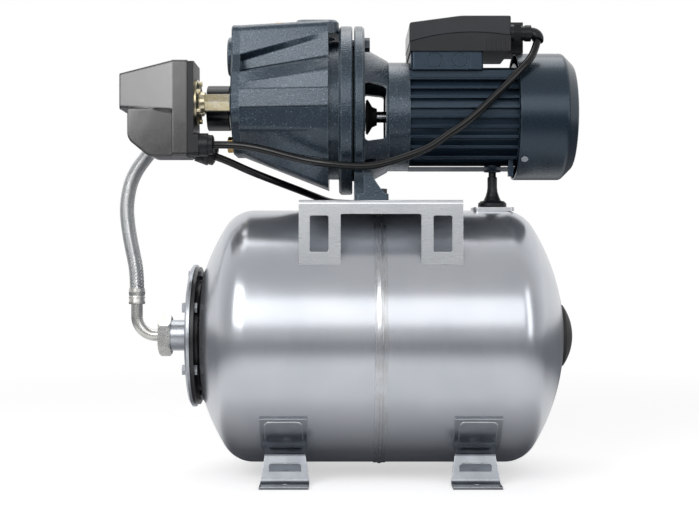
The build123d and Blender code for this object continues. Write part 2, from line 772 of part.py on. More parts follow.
def impeller():
    """Closed impeller: two shrouds, a hub and backward curved vanes between them."""
    back_x = lantern_face_x - 9
    vane_x0, vane_x1 = back_x - 10, back_x - 2.5
    wheel = turned([(back_x, shaft_r), (back_x, impeller_r), (vane_x1, impeller_r), (vane_x1, 13),
                    (vane_x0 - 4, 11), (vane_x0 - 4, shaft_r)], z=axis_z)
    wheel += turned([(vane_x0, impeller_r), (vane_x0 - 2.5, impeller_r),
                     (vane_x0 - 3.5, impeller_eye_r + 2.5), (vane_x0 - 7, impeller_eye_r + 2.5),
                     (vane_x0 - 7, impeller_eye_r), (vane_x0, impeller_eye_r)], z=axis_z)
    mean = (impeller_r + impeller_eye_r) / 2
    curve = ThreePointArc((impeller_eye_r, 0), (mean * cos(radians(32)), mean * sin(radians(32))),
                          ((impeller_r - 0.5) * cos(radians(80)), (impeller_r - 0.5) * sin(radians(80))))
    vane = extrude(Plane(origin=(vane_x0 - 0.2, 0, 0), x_dir=(0, 1, 0), z_dir=(1, 0, 0))
                   * trace(curve, impeller_vane_t), vane_x1 - vane_x0 + 0.4)
    ring = rod_x(impeller_r, vane_x0 - 0.2, vane_x1 + 0.2)
    for i in range(impeller_vanes):
        wheel += Pos(0, 0, axis_z) * Rot(360 / impeller_vanes * i, 0, 0) * (vane & ring)
    return wheel, vane_x0


def impeller_nut(vane_x0):
    nut = along_x(hexagon(17), vane_x0 - 10, vane_x0 - 4, 0, axis_z)
    return nut - rod_x(shaft_r, vane_x0 - 11, vane_x0, 0, axis_z)


def diffuser(vane_x0):
    """Plastic diffuser: front wall with the eye bore, a rim with outlets, an ejector socket."""
    wall = vane_x0 - 5
    eye = impeller_eye_r + 2.5 + running_gap
    socket = eye + 1.2
    body = turned([(wall, eye), (wall, diffuser_r - 3), (lantern_face_x, diffuser_r - 3),
                   (lantern_face_x, diffuser_r), (wall - 2.5, diffuser_r), (wall - 2.5, socket + 3),
                   (wall - 10, socket + 3), (wall - 10, socket), (wall - 2.5, socket),
                   (wall - 2.5, eye)], z=axis_z)
    for i in range(6):
        outlet = Rot(60 * i, 0, 0) * block(wall + 4, lantern_face_x - 5, -9, 9,
                                           diffuser_r - 6, diffuser_r + 3)
        body -= Pos(0, 0, axis_z) * outlet
    return body, wall, socket


def ejector(wall, socket):
    """Ejector tube from the suction gallery, through the throat, to the impeller eye."""
    x0 = casing_back_x - chamber_len - chamber_wall - 2
    end = wall - 2.6
    r = socket - 0.05
    profile = [
        (x0, ejector_r), (x0 + 12, ejector_r), (x0 + 16, ejector_r - 4), (end - 28, ejector_r - 4),
        (end - 9, r), (end, r), (end, r - 3), (end - 28, ejector_throat_r + 1),
        (x0 + 30, ejector_throat_r), (x0 + 18, ejector_throat_r), (x0, ejector_r - 3),
    ]
    return turned(profile, z=axis_z)


def shaft(vane_x0):
    front = shield_x + 5
    rear = cover_x - 7.5
    profile = [
        (vane_x0 - 11.5, 0), (vane_x0 - 11.5, shaft_r), (front, shaft_r), (front, bearing_shaft_r),
        (front + bearing_width, bearing_shaft_r), (front + bearing_width, core_shaft_r),
        (rear, core_shaft_r), (rear, bearing_shaft_r), (rear + bearing_width, bearing_shaft_r),
        (rear + bearing_width, shaft_r), (cover_x + 42, shaft_r), (cover_x + 42, 0),
    ]
    return turned(profile, z=axis_z)


def ball_bearing(x0):
    """Deep groove bearing drawn as its two rings and the shields between them."""
    inner, outer = bearing_shaft_r + 0.05, bearing_outer_r
    profile = [
        (x0, inner), (x0, inner + 2.5), (x0 + 0.8, inner + 2.5), (x0 + 0.8, outer - 2.5),
        (x0, outer - 2.5), (x0, outer), (x0 + bearing_width, outer),
        (x0 + bearing_width, outer - 2.5), (x0 + bearing_width - 0.8, outer - 2.5),
        (x0 + bearing_width - 0.8, inner + 2.5), (x0 + bearing_width, inner + 2.5),
        (x0 + bearing_width, inner),
    ]
    return turned(profile, z=axis_z)


def seal_seat():
    x0 = lantern_face_x
    return turned([(x0, shaft_r + 0.6), (x0, seal_r), (x0 + 5.9, seal_r), (x0 + 5.9, shaft_r + 0.6)],
                  z=axis_z)


def seal_head():
    """Turning half of the shaft seal, between the impeller and its seat."""
    x1 = lantern_face_x - 0.05
    x0 = lantern_face_x - 9
    return turned([(x0, shaft_r), (x0, seal_r - 2), (x1 - 3, seal_r - 1), (x1 - 3, seal_r - 3),
                   (x1, seal_r - 3), (x1, shaft_r)], z=axis_z)


def slinger():
    """Rubber cone on the shaft that keeps water off the motor bearing."""
    x0 = lantern_face_x + lantern_flange_t + 1.9
    return turned([(x0, shaft_r), (x0, slinger_r - 1), (x0 + 2, slinger_r), (x0 + 4, slinger_r - 3),
                   (x0 + 7, 11), (x0 + 12, 9), (x0 + 12, shaft_r)], z=axis_z)


# Motor

def stator_housing():
    """Finned housing: a tube with level fins, a seat for the box and a boss for the stand."""
    outer = stator_bore_r + stator_skin
    body = rod_x(outer, stator_x, cover_x, 0, axis_z)
    envelope = rod_x(fin_r, stator_x, cover_x, 0, axis_z)
    box_seat = axis_z + box_rise
    fins = int(fin_r / fin_pitch) + 1
    for i in range(-fins, fins):
        z = axis_z + (i + 0.5) * fin_pitch
        if abs(z - axis_z) < fin_r - fin_t and z < box_seat - fin_t:
            body += block(stator_x, cover_x, -fin_r, fin_r, z - fin_t / 2, z + fin_t / 2) & envelope
    seat_half = box_half_width - box_seat_inset
    body += block(stator_x, cover_x, -seat_half, seat_half, axis_z + 30, box_seat)
    body += rod_z(9, axis_z - fin_r, axis_z - outer + 3, stand_x)
    body += block(cover_x - 8.5, cover_x - 3.5, -29, -21, axis_z - fin_r - 6, axis_z - 46) - rod_x(
        2.2, cover_x - 10, cover_x, -25, axis_z - fin_r - 1.5)
    return body - rod_x(stator_bore_r, stator_x - 1, cover_x + 1, 0, axis_z)


def stator_core():
    inner = rotor_r + core_gap
    return turned([(core_x, inner), (core_x, stator_bore_r), (core_x + core_len, stator_bore_r),
                   (core_x + core_len, inner)], z=axis_z)


def windings():
    """Coil heads at both ends of the stator core."""
    rings = []
    for x, side in ((core_x, -1), (core_x + core_len, 1)):
        far = x + side * 13
        corners = [(x, 33), (far, 33), (far, 44.5), (x, 44.5)]
        rings.append(turned(corners, z=axis_z, radii=[0, 4, 4, 0]))
    return rings


def rotor_core():
    x0, x1 = core_x, core_x + core_len
    return turned([(x0 - 4, core_shaft_r), (x0 - 4, rotor_r - 9), (x0, rotor_r - 7), (x0, rotor_r),
                   (x1, rotor_r), (x1, rotor_r - 7), (x1 + 4, rotor_r - 9), (x1 + 4, core_shaft_r)],
                  z=axis_z)


def rear_shield():
    """Rear end shield with the bearing hub and four ears that the fan cover slips over."""
    hub_x = cover_x - 8.5
    back = cover_x + 5
    shield = turned([(cover_x - 5, stator_bore_r - 4), (cover_x - 5, stator_bore_r - 0.1),
                     (cover_x, stator_bore_r - 0.1), (cover_x, fin_r - 2), (back, fin_r - 4),
                     (back, shaft_r + 0.6), (hub_x + 12.3, shaft_r + 0.6),
                     (hub_x + 12.3, bearing_outer_r), (hub_x, bearing_outer_r), (hub_x, 21), (cover_x, 23),
                     (cover_x, stator_bore_r - 4)], z=axis_z)
    inside = fan_cover_r - fan_cover_wall
    for i in range(4):
        ear = Rot(45 + 90 * i, 0, 0) * block(cover_x + 0.5, cover_x + 11, -6, 6, fin_r - 9, inside - 0.3)
        shield += Pos(0, 0, axis_z) * ear
        shield -= Pos(cover_x + 6, 0, axis_z) * Rot(45 + 90 * i, 0, 0) * rod_z(1.62, fin_r - 3, fan_cover_r)
    shell = rod_x(inside - 0.1, cover_x - 20, cover_x + 20, 0, axis_z)
    shield &= shell
    return shield


def cover_screws():
    """Four screws through the fan cover into the ears of the rear shield."""
    screws = []
    for i in range(4):
        screw = rod_z(3.6, fan_cover_r, fan_cover_r + 1.4) + rod_z(1.6, fan_cover_r - 9, fan_cover_r)
        screws.append(Pos(cover_x + 6, 0, axis_z) * Rot(45 + 90 * i, 0, 0) * screw)
    return Compound(children=screws)


def fan_cover():
    """Pressed cover over the fan, with a slotted air inlet in its end."""
    end = cover_x + fan_cover_len
    r, t, cut = fan_cover_r, fan_cover_wall, fan_cover_chamfer
    outer = [(cover_x, r, 0), (end - 2.2 - cut, r, 6), (end - 2.2, r - cut, 5), (end, 14, 20),
             (end, 0, 0)]
    inner = [(end - t, 0, 0), (end - t, 14, 20), (end - 2.2 - t, r - cut - 0.6, 4),
             (end - 2.6 - cut, r - t, 5), (cover_x, r - t, 0)]
    corners = outer + inner
    cover = turned([(x, y) for x, y, _ in corners], z=axis_z, radii=[c for _, _, c in corners])
    for count, low, high, width in ((10, 13, 25, 5.0), (18, 30, 45, 5.0)):
        slot = Pos(0, (low + high) / 2) * Rot(0, 0, 90) * SlotOverall(high - low, width)
        cut_tool = along_x(slot, end - 8, end + 1)
        for i in range(count):
            cover -= Pos(0, 0, axis_z) * Rot(360 / count * i, 0, 0) * cut_tool
    for i in range(4):
        cover -= Pos(cover_x + 6, 0, axis_z) * Rot(45 + 90 * i, 0, 0) * rod_z(1.9, r - 4, r + 2)
    return cover


def fan():
    """Radial fan: hub, back plate and flat blades."""
    x0 = cover_x + 15
    wheel = turned([(x0, shaft_r), (x0, fan_r - 8), (x0 + 2.2, fan_r - 8), (x0 + 2.2, 12),
                    (x0 + 24, 11), (x0 + 24, shaft_r)], z=axis_z)
    blade = block(x0 + 0.5, x0 + 2 + fan_width, -1.2, 1.2, 11, fan_r)
    for i in range(fan_blades):
        wheel += Pos(0, 0, axis_z) * Rot(360 / fan_blades * i, 0, 0) * blade
    return wheel


def rear_stand():
    """Moulded stand under the motor: a foot, a flared skirt and a fluted stem."""
    floor = tank_z + tank_r + 3
    top = axis_z - fin_r
    r, s = stand_base_r, stand_stem_r
    profile = [(0, floor), (r - 1, floor), (r, floor + 1), (r, floor + 4.5), (r - 2.5, floor + 7),
               (9.5, floor + 7.6), (7.4, floor + 12), (s + 0.6, floor + 17), (s, floor + 22),
               (s, top - 6), (4.0, top - 5), (4.0, top), (0, top)]
    stand = Pos(stand_x, 0, 0) * revolve(Plane.XZ * Polygon(*profile), Axis.Z)
    for i in range(6):
        stand -= Pos(stand_x, 0, 0) * Rot(0, 0, 60 * i) * rod_z(1.1, floor + 14, top - 7, s + 0.5)
    return stand


# Terminal box

def box_base():
    """Cast box base with two round knock-outs on each long side."""
    z0 = axis_z + box_rise
    z1 = z0 + box_height
    mid = box_x + box_len / 2
    base = along_z(RectangleRounded(box_len, 2 * box_half_width, 4), z0, z1, mid)
    base -= along_z(RectangleRounded(box_len - 7, 2 * box_half_width - 7, 2), box_floor, z1 + 1, mid)
    base -= rod_x(stator_bore_r + stator_skin, box_x - 1, box_x + box_len + 1, 0, axis_z)
    for side in (-1, 1):
        face = side * box_half_width
        for x in (box_x + 25, box_x + 51.4):
            ring = rod_y(knockout_r, face - 0.7, face + 0.7, x, z0 + box_height / 2)
            base -= ring - rod_y(knockout_r - 1, face - 1, face + 1, x, z0 + box_height / 2)
        base -= block(box_x + 61, box_x + 62, face - 0.6, face + 0.6, z0, z1)
    return base


def seam_curve(x0, x1, lift=0.0):
    """Curved joint line of the two plastic shells, low at the left end."""
    z = axis_z + lift
    return ThreePointArc((x0, z + 73.7), ((x0 + x1) / 2, z + 83.3), (x1, z + 80.3))


def box_tray():
    """Lower plastic shell with the stepped block that holds the capacitor's tail."""
    x0, x1 = lid_x + 0.5, lid_x + lid_len
    z0 = axis_z + box_rise + box_height
    seam = seam_curve(x0, x1)
    rim = Polyline((x1, axis_z + 80.3), (x1, z0), (x0, z0), (x0, axis_z + 73.7))
    w = lid_half_width - 0.8
    tray = along_y(make_face([seam, *rim.edges()]), -w, w)
    box_end = box_x + box_len
    hollow = block(x0 + lid_wall, x1 - lid_wall, -w + lid_wall, w - lid_wall, z0 + lid_wall, z0 + 40)
    mouth = block(box_x + 4, box_end - 4, -box_half_width + 4, box_half_width - 4, z0 - 1, z0 + 5)
    tray -= hollow + mouth
    for i in range(5):
        x = box_end + 3 + 5 * i
        tray += block(x, x + 1.8, -w - 1, -w + 1, z0 + 1, z0 + 13)
    top = axis_z + lid_high_rise
    y0, y1 = lid_block_y0, lid_block_y1
    tray += block(x1 - 1, x1 + lid_block_len, y0, y1, z0 + 4, z0 + 12)
    tray += block(x1 + 0.3, x1 + lid_block_len, y0, y1, z0 + 4, top)
    tray -= rod_x(box_gland_r + 1, x1 - 5, x1 + 2, box_gland_y, box_gland_z)
    return tray


def box_lid():
    """Upper plastic shell, higher at the fan end, closing on the curved joint."""
    x0, x1 = lid_x, lid_x + lid_len
    low, high = axis_z + lid_low_rise, axis_z + lid_high_rise
    lift = 0.15
    seam = seam_curve(x0, x1, lift)
    rise_x = x0 + 54
    rim = FilletPolyline((x1, axis_z + 80.3 + lift), (x1, high), (rise_x, high), (x0, low),
                         (x0, axis_z + 73.7 + lift), radius=[2, 60, 3])
    w = lid_half_width
    lid = along_y(make_face([seam, *rim.edges()]), -w, w)
    lid = chamfer(lid.faces().filter_by(Axis.Y).edges().filter_by_position(Axis.Z, low - 8, high + 1), 1.2)
    t = lid_wall
    room = FilletPolyline((x0 + t, axis_z + 60), (x0 + t, low - t), (rise_x, high - t),
                          (x1 - t, high - t), (x1 - t, axis_z + 60), radius=[0, 1, 60, 1, 0], close=True)
    lid -= along_y(make_face(room), -w + t, w - t)
    return lid - rod_x(box_gland_r + 1, x1 - 5, x1 + 2, box_gland_y, box_gland_z)


def terminal_block():
    """Block of six terminals on the floor of the box."""
    z0 = box_floor
    body = block(box_x + 12, box_x + 52, -22, 6, z0, z0 + 12)
    for i in range(6):
        x = box_x + 16 + 6.4 * i
        body += block(x, x + 1.2, -22, 6, z0 + 11, z0 + 16)
        for y in (-15, -1):
            body -= rod_z(2, z0 + 8, z0 + 13, x + 3.8 if i < 5 else x - 2.6, y)
    return body


def capacitor():
    """Running capacitor lying in the tray, with its moulded end."""
    x1 = lid_x + lid_len - capacitor_gap
    x0 = x1 - capacitor_len
    z = axis_z + box_rise + box_height + lid_wall + capacitor_r
    can = [(x0, 0, 0), (x0, capacitor_r, 1.5), (x1 - 2, capacitor_r, 1.5), (x1 - 2, capacitor_r - 3, 1),
           (x1, capacitor_r - 3, 0), (x1, 0, 0)]
    return turned([(x, r) for x, r, _ in can], capacitor_y, z, [c for _, _, c in can])


def box_gland():
    """Cable gland in the lid's end, turned down and forward by its elbow."""
    x0 = lid_x + lid_len
    gland = rod_x(box_gland_r + 0.8, x0 - 4, x0 + 0.2) + rod_x(9, x0 + 0.1, x0 + 4)
    gland += along_x(hexagon(17, 30), x0 + 4, x0 + 11)
    gland += turned([(x0 + 11, 0), (x0 + 11, 7.8), (x0 + 16, 7.8), (x0 + 16, 8.6), (x0 + 22, 8.6),
                     (x0 + 22, 0)])
    bend = FilletPolyline((x0 + 21, 0, 0), (x0 + 31.3, 0, 0), (x0 + 28.8, 0, -8.65), radius=6.6)
    elbow = sweep(Plane(origin=bend @ 0, z_dir=bend % 0) * Circle(box_gland_r), bend)
    return Pos(0, box_gland_y, box_gland_z) * Rot(-elbow_lean, 0, 0) * (gland + elbow)


# Pressure switch

def switch_body(inset=0.0):
    """Closed outer shape of the switch cover, or its inside when inset by the wall."""
    y, half = switch_y, switch_half_width - inset
    front_half = switch_front_half - inset
    rim_x = switch_seam_x - switch_rim_depth
    belly_x = rim_x - switch_belly_depth + inset
    near = Plane(origin=(rim_x, y, switch_top - 27), x_dir=(0, 1, 0), z_dir=(-1, 0, 0))
    far = Plane(origin=(rim_x - switch_nose_depth + inset, y, switch_top - 31.5), x_dir=(0, 1, 0), z_dir=(-1, 0, 0))
    upper = loft([near * RectangleRounded(2 * half, 53.2 - 2 * inset, 3),
                  far * RectangleRounded(2 * front_half, 37 - 2 * inset, 3)], ruled=True)
    i = inset
    side = [(rim_x + 1, switch_bottom + i, 0), (rim_x - 24, switch_bottom + i, 12),
            (belly_x, switch_bottom + 18 + i, 14), (belly_x, switch_top - 50, 0),
            (rim_x + 1, switch_top - 50, 0)]
    lower = along_y(outline(side), y - half + 3, y + half - 3)
    rim = along_x(RectangleRounded(2 * half, switch_top - switch_bottom - 2 * i, 3), rim_x,
                  switch_seam_x + i / 10, y, (switch_top + switch_bottom) / 2)
    return upper + lower + rim


def switch_cover():
    return switch_body() - switch_body(switch_wall)


def switch_base():
    """Back plate of the switch with its two cable outlets and the ears of the lever's pin."""
    y, half = switch_y, switch_half_width - 1
    x0, x1 = switch_seam_x, switch_seam_x + switch_base_t
    mid = (switch_top + switch_bottom) / 2
    base = along_x(RectangleRounded(2 * half, switch_top - switch_bottom - 2, 3), x0, x1, y, mid)
    nut_end = gland_len + gland_nut_len
    outlet = turned([(0, 0), (0, gland_r), (gland_len, gland_r), (gland_len, gland_r - 1.5),
                     (nut_end - 1, gland_r - 2), (nut_end, gland_r - 4), (nut_end, 0)])
    for gy, gz, tilt in gland_places():
        base += along_x(RectangleRounded(24, 24, 4), x1 - 1, x1 + 5, gy, gz)
        base += Pos(x1, gy, gz) * Rot(0, tilt, 0) * outlet
    for side in (-1, 1):
        ear_y = y + side * 20
        base += block(x0 - 8, x0 + 1, ear_y - 2, ear_y + 2, lever_z - 4, lever_z + 4)
        base -= rod_y(lever_pin_r, ear_y - 3, ear_y + 3, x0 - 5, lever_z)
    base -= rod_x(3, x0 - 1, x1 - 2, y, lever_z + 18)
    return base


def gland_places():
    """Centre and downward tilt of the two cable outlets, the front one higher."""
    return [(switch_y - gland_spacing / 2, gland_z + gland_step, 0),
            (switch_y + gland_spacing / 2, gland_z, gland_tilt)]


def switch_lever():
    """Sprung contact lever on its pin, with the range spring riding on it."""
    x = switch_seam_x - 5
    y = switch_y
    lever = block(x - 1, x + 1, y - 16, y + 16, lever_z + 2, lever_z + 68)
    lever += rod_y(lever_pin_r + 1.6, y - 17, y + 17, x, lever_z)
    lever -= rod_y(lever_pin_r + 0.06, y - 18, y + 18, x, lever_z)
    lever -= rod_x(5, x - 2, x + 2, y, lever_z + 18)
    turns, pitch = 6, 3.3
    inner, outer = 5.2, 6.8
    high = [(x - 1.3 - pitch / 2 * i, outer if i % 2 else outer - 1) for i in range(2 * turns + 1)]
    low = [(px, r - outer + inner) for px, r in reversed(high)]
    return [lever, turned(high + low, y, lever_z + 18)]


def switch_works():
    """Pin, adjusting stud with its nut, and the contact block."""
    x, y = switch_seam_x - 5, switch_y
    pin = rod_y(lever_pin_r, y - 22, y + 22, x, lever_z)
    stud = rod_x(2.9, x - 30, switch_seam_x + switch_base_t - 2, y, lever_z + 18)
    stud += along_x(hexagon(13), x - 27, x - 22.5, y, lever_z + 18)
    contacts = block(x - 34, x - 8, y - 15, y + 15, lever_z + 46, lever_z + 62)
    for side in (-1, 1):
        contacts += block(x - 12, switch_seam_x, y + side * 18 - 1, y + side * 18 + 1,
                          lever_z + 48, lever_z + 60)
        contacts += block(x - 12, x - 9, y + min(side * 14, side * 19), y + max(side * 14, side * 19),
                          lever_z + 48, lever_z + 60)
    return [pin, stud, contacts]


def diaphragm_housing():
    """Plated pressed housing with its ring of screws and the boss of the nipple."""
    x0 = switch_seam_x + switch_base_t
    cup = [(x0, 0), (x0, 24), (x0 + 2.2, 24), (x0 + 2.2, 22.5), (x0 + 4.6, 19.5), (x0 + 4.6, 12),
           (x0 + 9.5, 11), (x0 + 9.5, 0)]
    housing = turned(cup, nipple_y, nipple_z)
    for i in range(6):
        angle = radians(30 + 60 * i)
        y, z = nipple_y + 19.6 * cos(angle), nipple_z + 19.6 * sin(angle)
        housing += rod_x(2.6, x0 + 1, x0 + 6.4, y, z)
    return housing - rod_x(nipple_thread_r + 0.02, x0 + 3, x0 + 10, nipple_y, nipple_z)


def switch_nipple():
    x0 = switch_seam_x + switch_base_t + 9.5
    nipple = along_x(hexagon(nipple_flats), x0, boss_face_x, nipple_y, nipple_z)
    return nipple + rod_x(nipple_thread_r, x0 - 6, casing_front_x + 8, nipple_y, nipple_z)


# Pressure gauge

def gauge_case():
    """Round case open to the left, with its bezel and the square threaded stem."""
    back = casing_front_x - gauge_gap
    front = back - gauge_depth
    z = axis_z + gauge_rise
    case = turned([(back, 0), (back, gauge_r - 1), (back - 1, gauge_r), (front + 0.8, gauge_r),
                   (front, gauge_r - 0.8), (front, gauge_r - 2.5), (front + 1, gauge_r - 2.5),
                   (front + 1, gauge_r - 2), (back - 2, gauge_r - 2), (back - 2, 0)], gauge_y, z)
    case += along_x(Rectangle(14, 14), back - 0.1, boss_face_x, gauge_y, z)
    return case + rod_x(nipple_thread_r, boss_face_x - 1, casing_front_x + 8, gauge_y, z), front


def gauge_dial(front):
    z = axis_z + gauge_rise
    dial = rod_x(gauge_r - 2.05, front + 5, front + 6, gauge_y, z)
    return dial - rod_x(0.9, front + 4, front + 7, gauge_y, z)


def gauge_needle(front):
    z = axis_z + gauge_rise
    needle = rod_x(2.4, front + 2.9, front + 4.3, gauge_y, z) + rod_x(0.8, front + 4, front + 9, gauge_y, z)
    hand = Polygon((-1.4, -7), (1.4, -7), (0.4, 17), (-0.4, 17))
    return needle + Pos(0, gauge_y, z) * Rot(225, 0, 0) * along_x(hand, front + 3.1, front + 3.9)


def gauge_lens(front):
    return rod_x(gauge_r - 2.05, front + 1, front + 2.2, gauge_y, axis_z + gauge_rise)


# Hose and its fittings

hose_points = [
    (elbow_x, 0, elbow_top), (elbow_x, 0, elbow_top + 18), (-266.5, 2, 240), (-271.5, 5, 264), (-274.4, 9.5, 288),
    (-271.5, 17, 313), (-264.5, 23.5, 330), (-255, 30, 344), (-243.5, 37.2, 360.9),
    (-232.9, 44, 378.1), (-224.1, 47.6, 386.9), (-213.5, 50.5, 393.9), (-201.6, 52.5, 398.7),
    (hose_end_x - 13, hose_port_y, hose_port_z), (hose_end_x, hose_port_y, hose_port_z),
]


def union_nut():
    """Nut over the tank's threaded stub, holding the collar of the elbow."""
    x0, x1 = stub_end - 4.4, stub_end + 8.6
    nut = along_x(hexagon(39, 30), x0, x1, 0, tank_z)
    cone = turned([(x0, 0), (x0, 20.2), (x0 + 2, 22.6), (x1 - 2, 22.6), (x1, 20.2), (x1, 0)], z=tank_z)
    bore = turned([(x0 - 1, 0), (x0 - 1, hose_tube_r + 0.07), (x0 + 2, hose_tube_r + 0.07),
                   (x0 + 2, pipe_thread_r + 0.06), (x1 + 1, pipe_thread_r + 0.06), (x1 + 1, 0)], z=tank_z)
    return (nut & cone) - bore


def hose_elbow():
    """Steel elbow with the collar under the nut and the crimped ferrule of the hose."""
    x, top = elbow_x, elbow_top
    path = FilletPolyline((stub_end - 0.1, 0, tank_z), (x, 0, tank_z), (x, 0, top - 2),
                          radius=elbow_bend_r)
    tube = sweep(Plane(origin=path @ 0, z_dir=path % 0) * Circle(hose_tube_r), path)
    tube += rod_x(pipe_thread_r - 2.5, stub_end - 2.2, stub_end - 0.1, 0, tank_z)
    ferrule = [(0, top - 17), (8.6, top - 17), (8.9, top - 15), (8.4, top - 11), (8.9, top - 9.5),
               (8.4, top - 8), (8.9, top - 4), (8.6, top - 0.1), (0, top - 0.1)]
    return tube + Pos(x, 0, 0) * revolve(Plane.XZ * Polygon(*ferrule), Axis.Z)


def hose_top_fitting():
    """Ferrule, hexagon nut and thread of the hose's upper end."""
    x0, y, z = hose_points[-1]
    body = turned([(x0 + 0.1, 0), (x0 + 0.1, hose_r + 0.9), (x0 + 7, hose_r + 0.9), (x0 + 7, hose_tube_r),
                   (boss_face_x - 2, hose_tube_r), (boss_face_x - 2, 0)], y, z)
    body += along_x(hexagon(21), x0 + 9, boss_face_x, y, z)
    return body + rod_x(nipple_thread_r, boss_face_x - 1, casing_front_x + 8, y, z)


# Cables

motor_lead_points = [
    (-171.7, -60.5, 349), (-161, -60.5, 349), (-148.4, -62, 348.6), (-132.9, -64, 346.6),
    (-115.4, -67, 342.6), (-96.8, -70, 337.2), (-76, -73, 331.8), (-54, -78, 328.2), (-32, -80, 325.8), (-10, -80, 325.6), (9, -79, 330),
    (30, -75.5, 337), (50.9, -71, 345.3), (67, -68, 357), (84, -68, 368), (100, -68, 380.8),
    (115, -67.5, 395.5), (129, -66.5, 409), (141.5, -64, 422.5), (153.5, -57.5, 435),
    (161.9, -47.6, 447.2), (166, -41.6, 460.3),
]

mains_lead_points = [
    (-172.91, -26.5, 339.16), (-163.5, -26.5, 335.74), (-152.5, -24.5, 330.9), (-139.5, -20.5, 325),
    (-122, -12, 318.3), (-103.4, 1, 311.6), (-84.7, 17, 305.1), (-67.9, 36, 299.1), (-52, 56, 294.05),
    (-38, 75, 294.05),
    (-26, 95, 294.1), (-18, 114, 294.2), (-13, 132, 286.5), (-11, 145.5, 272.3),
    (-11.5, 152.6, 253.8), (-17, 155, 232.6), (-25, 156, 211), (-36, 157, 188), (-48, 158, 165),
    (-60, 160, 142), (-71, 163, 118), (-79, 167, 93), (-82, 171, 68), (-76, 176, 44),
    (-62, 180, 24), (-43, 183.5, 10.5), (-21, 185.2, 4.5), (1.5, 185.2, 4.4),
]

mains_tail_points = [
    (5, 185, 12.3), (22, 185.3, 14.2), (40, 183.3, 17.2), (56, 178, 19.3), (69, 172, 19.3),
]


def mains_coil():
    """Outer shape of the turns of spare cable, flat on the floor."""
    ring = [(coil_r - 2 * cable_r, 0.3, 3.5), (coil_r + 2 * cable_r, 0.3, 3.5),
            (coil_r + 2 * cable_r, 4 * cable_r + 0.3, 3.5), (coil_r - 2 * cable_r, 4 * cable_r + 0.3, 3.5)]
    return Pos(coil_x, coil_y, 0) * revolve(Plane.XZ * outline(ring), Axis.Z)


def mains_plug():
    """Round two pin plug with earth clips, its tapered sleeve towards the cable."""
    (xa, ya, _), (xb, yb, z) = mains_tail_points[-2:]
    heading = degrees(atan2(yb - ya, xb - xa))
    body = [(0, 0), (0, cable_r + 0.6), (24, cable_r + 3.2), (26, 12), (32, plug_r - 2), (38, plug_r),
            (54, plug_r), (54, plug_r - 1.5), (60, plug_r - 1.8), (60, 0)]
    plug = turned(body)
    for side in (-1, 1):
        plug += rod_x(2.4, 59, 79, side * 9.5)
        plug -= block(53, 61, -3.2, 3.2, min(side * 15.5, side * 20), max(side * 15.5, side * 20))
    return Pos(xb, yb, z) * Rot(0, 0, heading) * plug


# Every node is written here, the tank first

write("tank_shell_right", half_shell(valve_r + 2.05) + seam_band())
write("tank_shell_left", mirror(half_shell(neck_hole_r), Plane.YZ))
write("tank_neck", tank_neck())
write("cover_plate", cover_plate())
write("flange_fasteners", flange_fasteners())
write("bladder", bladder())
write("air_valve", air_valve())
write("valve_cap", valve_cap())

foot = front_left_foot()
write("foot_front_left", foot)
write("foot_front_right", mirror(foot, Plane.YZ))
write("foot_rear_left", mirror(foot, Plane.XZ))
write("foot_rear_right", mirror(mirror(foot, Plane.XZ), Plane.YZ))
write("platform", Compound(children=[platform(), stand_pad()]))

write("pump_casing", bored_casing())
write("casing_gasket", casing_gasket())
write("lantern_bracket", lantern_bracket())
write("m8_bolts", Compound(children=casing_bolts() + pump_foot_bolts()))
write("priming_plug", priming_plug())
write("drain_plug", drain_plug())

wheel, vane_x0 = impeller()
guide, guide_wall, guide_socket = diffuser(vane_x0)
write("impeller", wheel)
write("impeller_nut", impeller_nut(vane_x0))
write("diffuser", guide)
write("ejector", ejector(guide_wall, guide_socket))
write("shaft", shaft(vane_x0))
write("bearings", Compound(children=[ball_bearing(shield_x + 5), ball_bearing(cover_x - 7.5)]))
write("seal_seat", seal_seat())
write("seal_head", seal_head())
write("slinger", slinger())

write("stator_housing", stator_housing())
write("stator_core", Compound(children=[stator_core()] + windings()))
write("rotor_core", rotor_core())
write("rear_end_shield", rear_shield())
write("fan_cover", fan_cover())
write("cover_screws", cover_screws())
write("fan", fan())
write("rear_stand", rear_stand())

write("terminal_box_base", box_base())
write("terminal_box_tray", box_tray())
write("terminal_box_lid", box_lid())
write("terminal_block", terminal_block())
write("capacitor", capacitor())
write("box_gland", box_gland())

write("switch_cover", switch_cover())
write("switch_base", switch_base())
write("switch_lever", Compound(children=switch_lever()))
write("switch_works", Compound(children=switch_works()))
write("diaphragm_housing", diaphragm_housing())
write("switch_nipple", switch_nipple())

case, gauge_front = gauge_case()
write("gauge_case", case)
write("gauge_dial", gauge_dial(gauge_front))
write("gauge_needle", gauge_needle(gauge_front))
write("gauge_lens", gauge_lens(gauge_front))

write("union_nut", union_nut())
write("hose_elbow", hose_elbow())
write("hose", tube_along(hose_points, hose_r, "hose"))
write("hose_top_fitting", hose_top_fitting())
write("motor_lead", tube_along(motor_lead_points, cable_r, "motor lead"))
lead = tube_along(mains_lead_points, cable_r, "mains lead")
tail = tube_along(mains_tail_points, cable_r, "mains tail")
write("mains_lead", Compound(children=[lead, tail]))
write("mains_coil", mains_coil())
write("mains_plug", mains_plug())
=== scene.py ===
"""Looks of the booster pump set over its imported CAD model: finishes, tank shell, hose, cables, studio."""

import logging
from dataclasses import dataclass
from enum import Enum
from math import radians
from typing import ClassVar

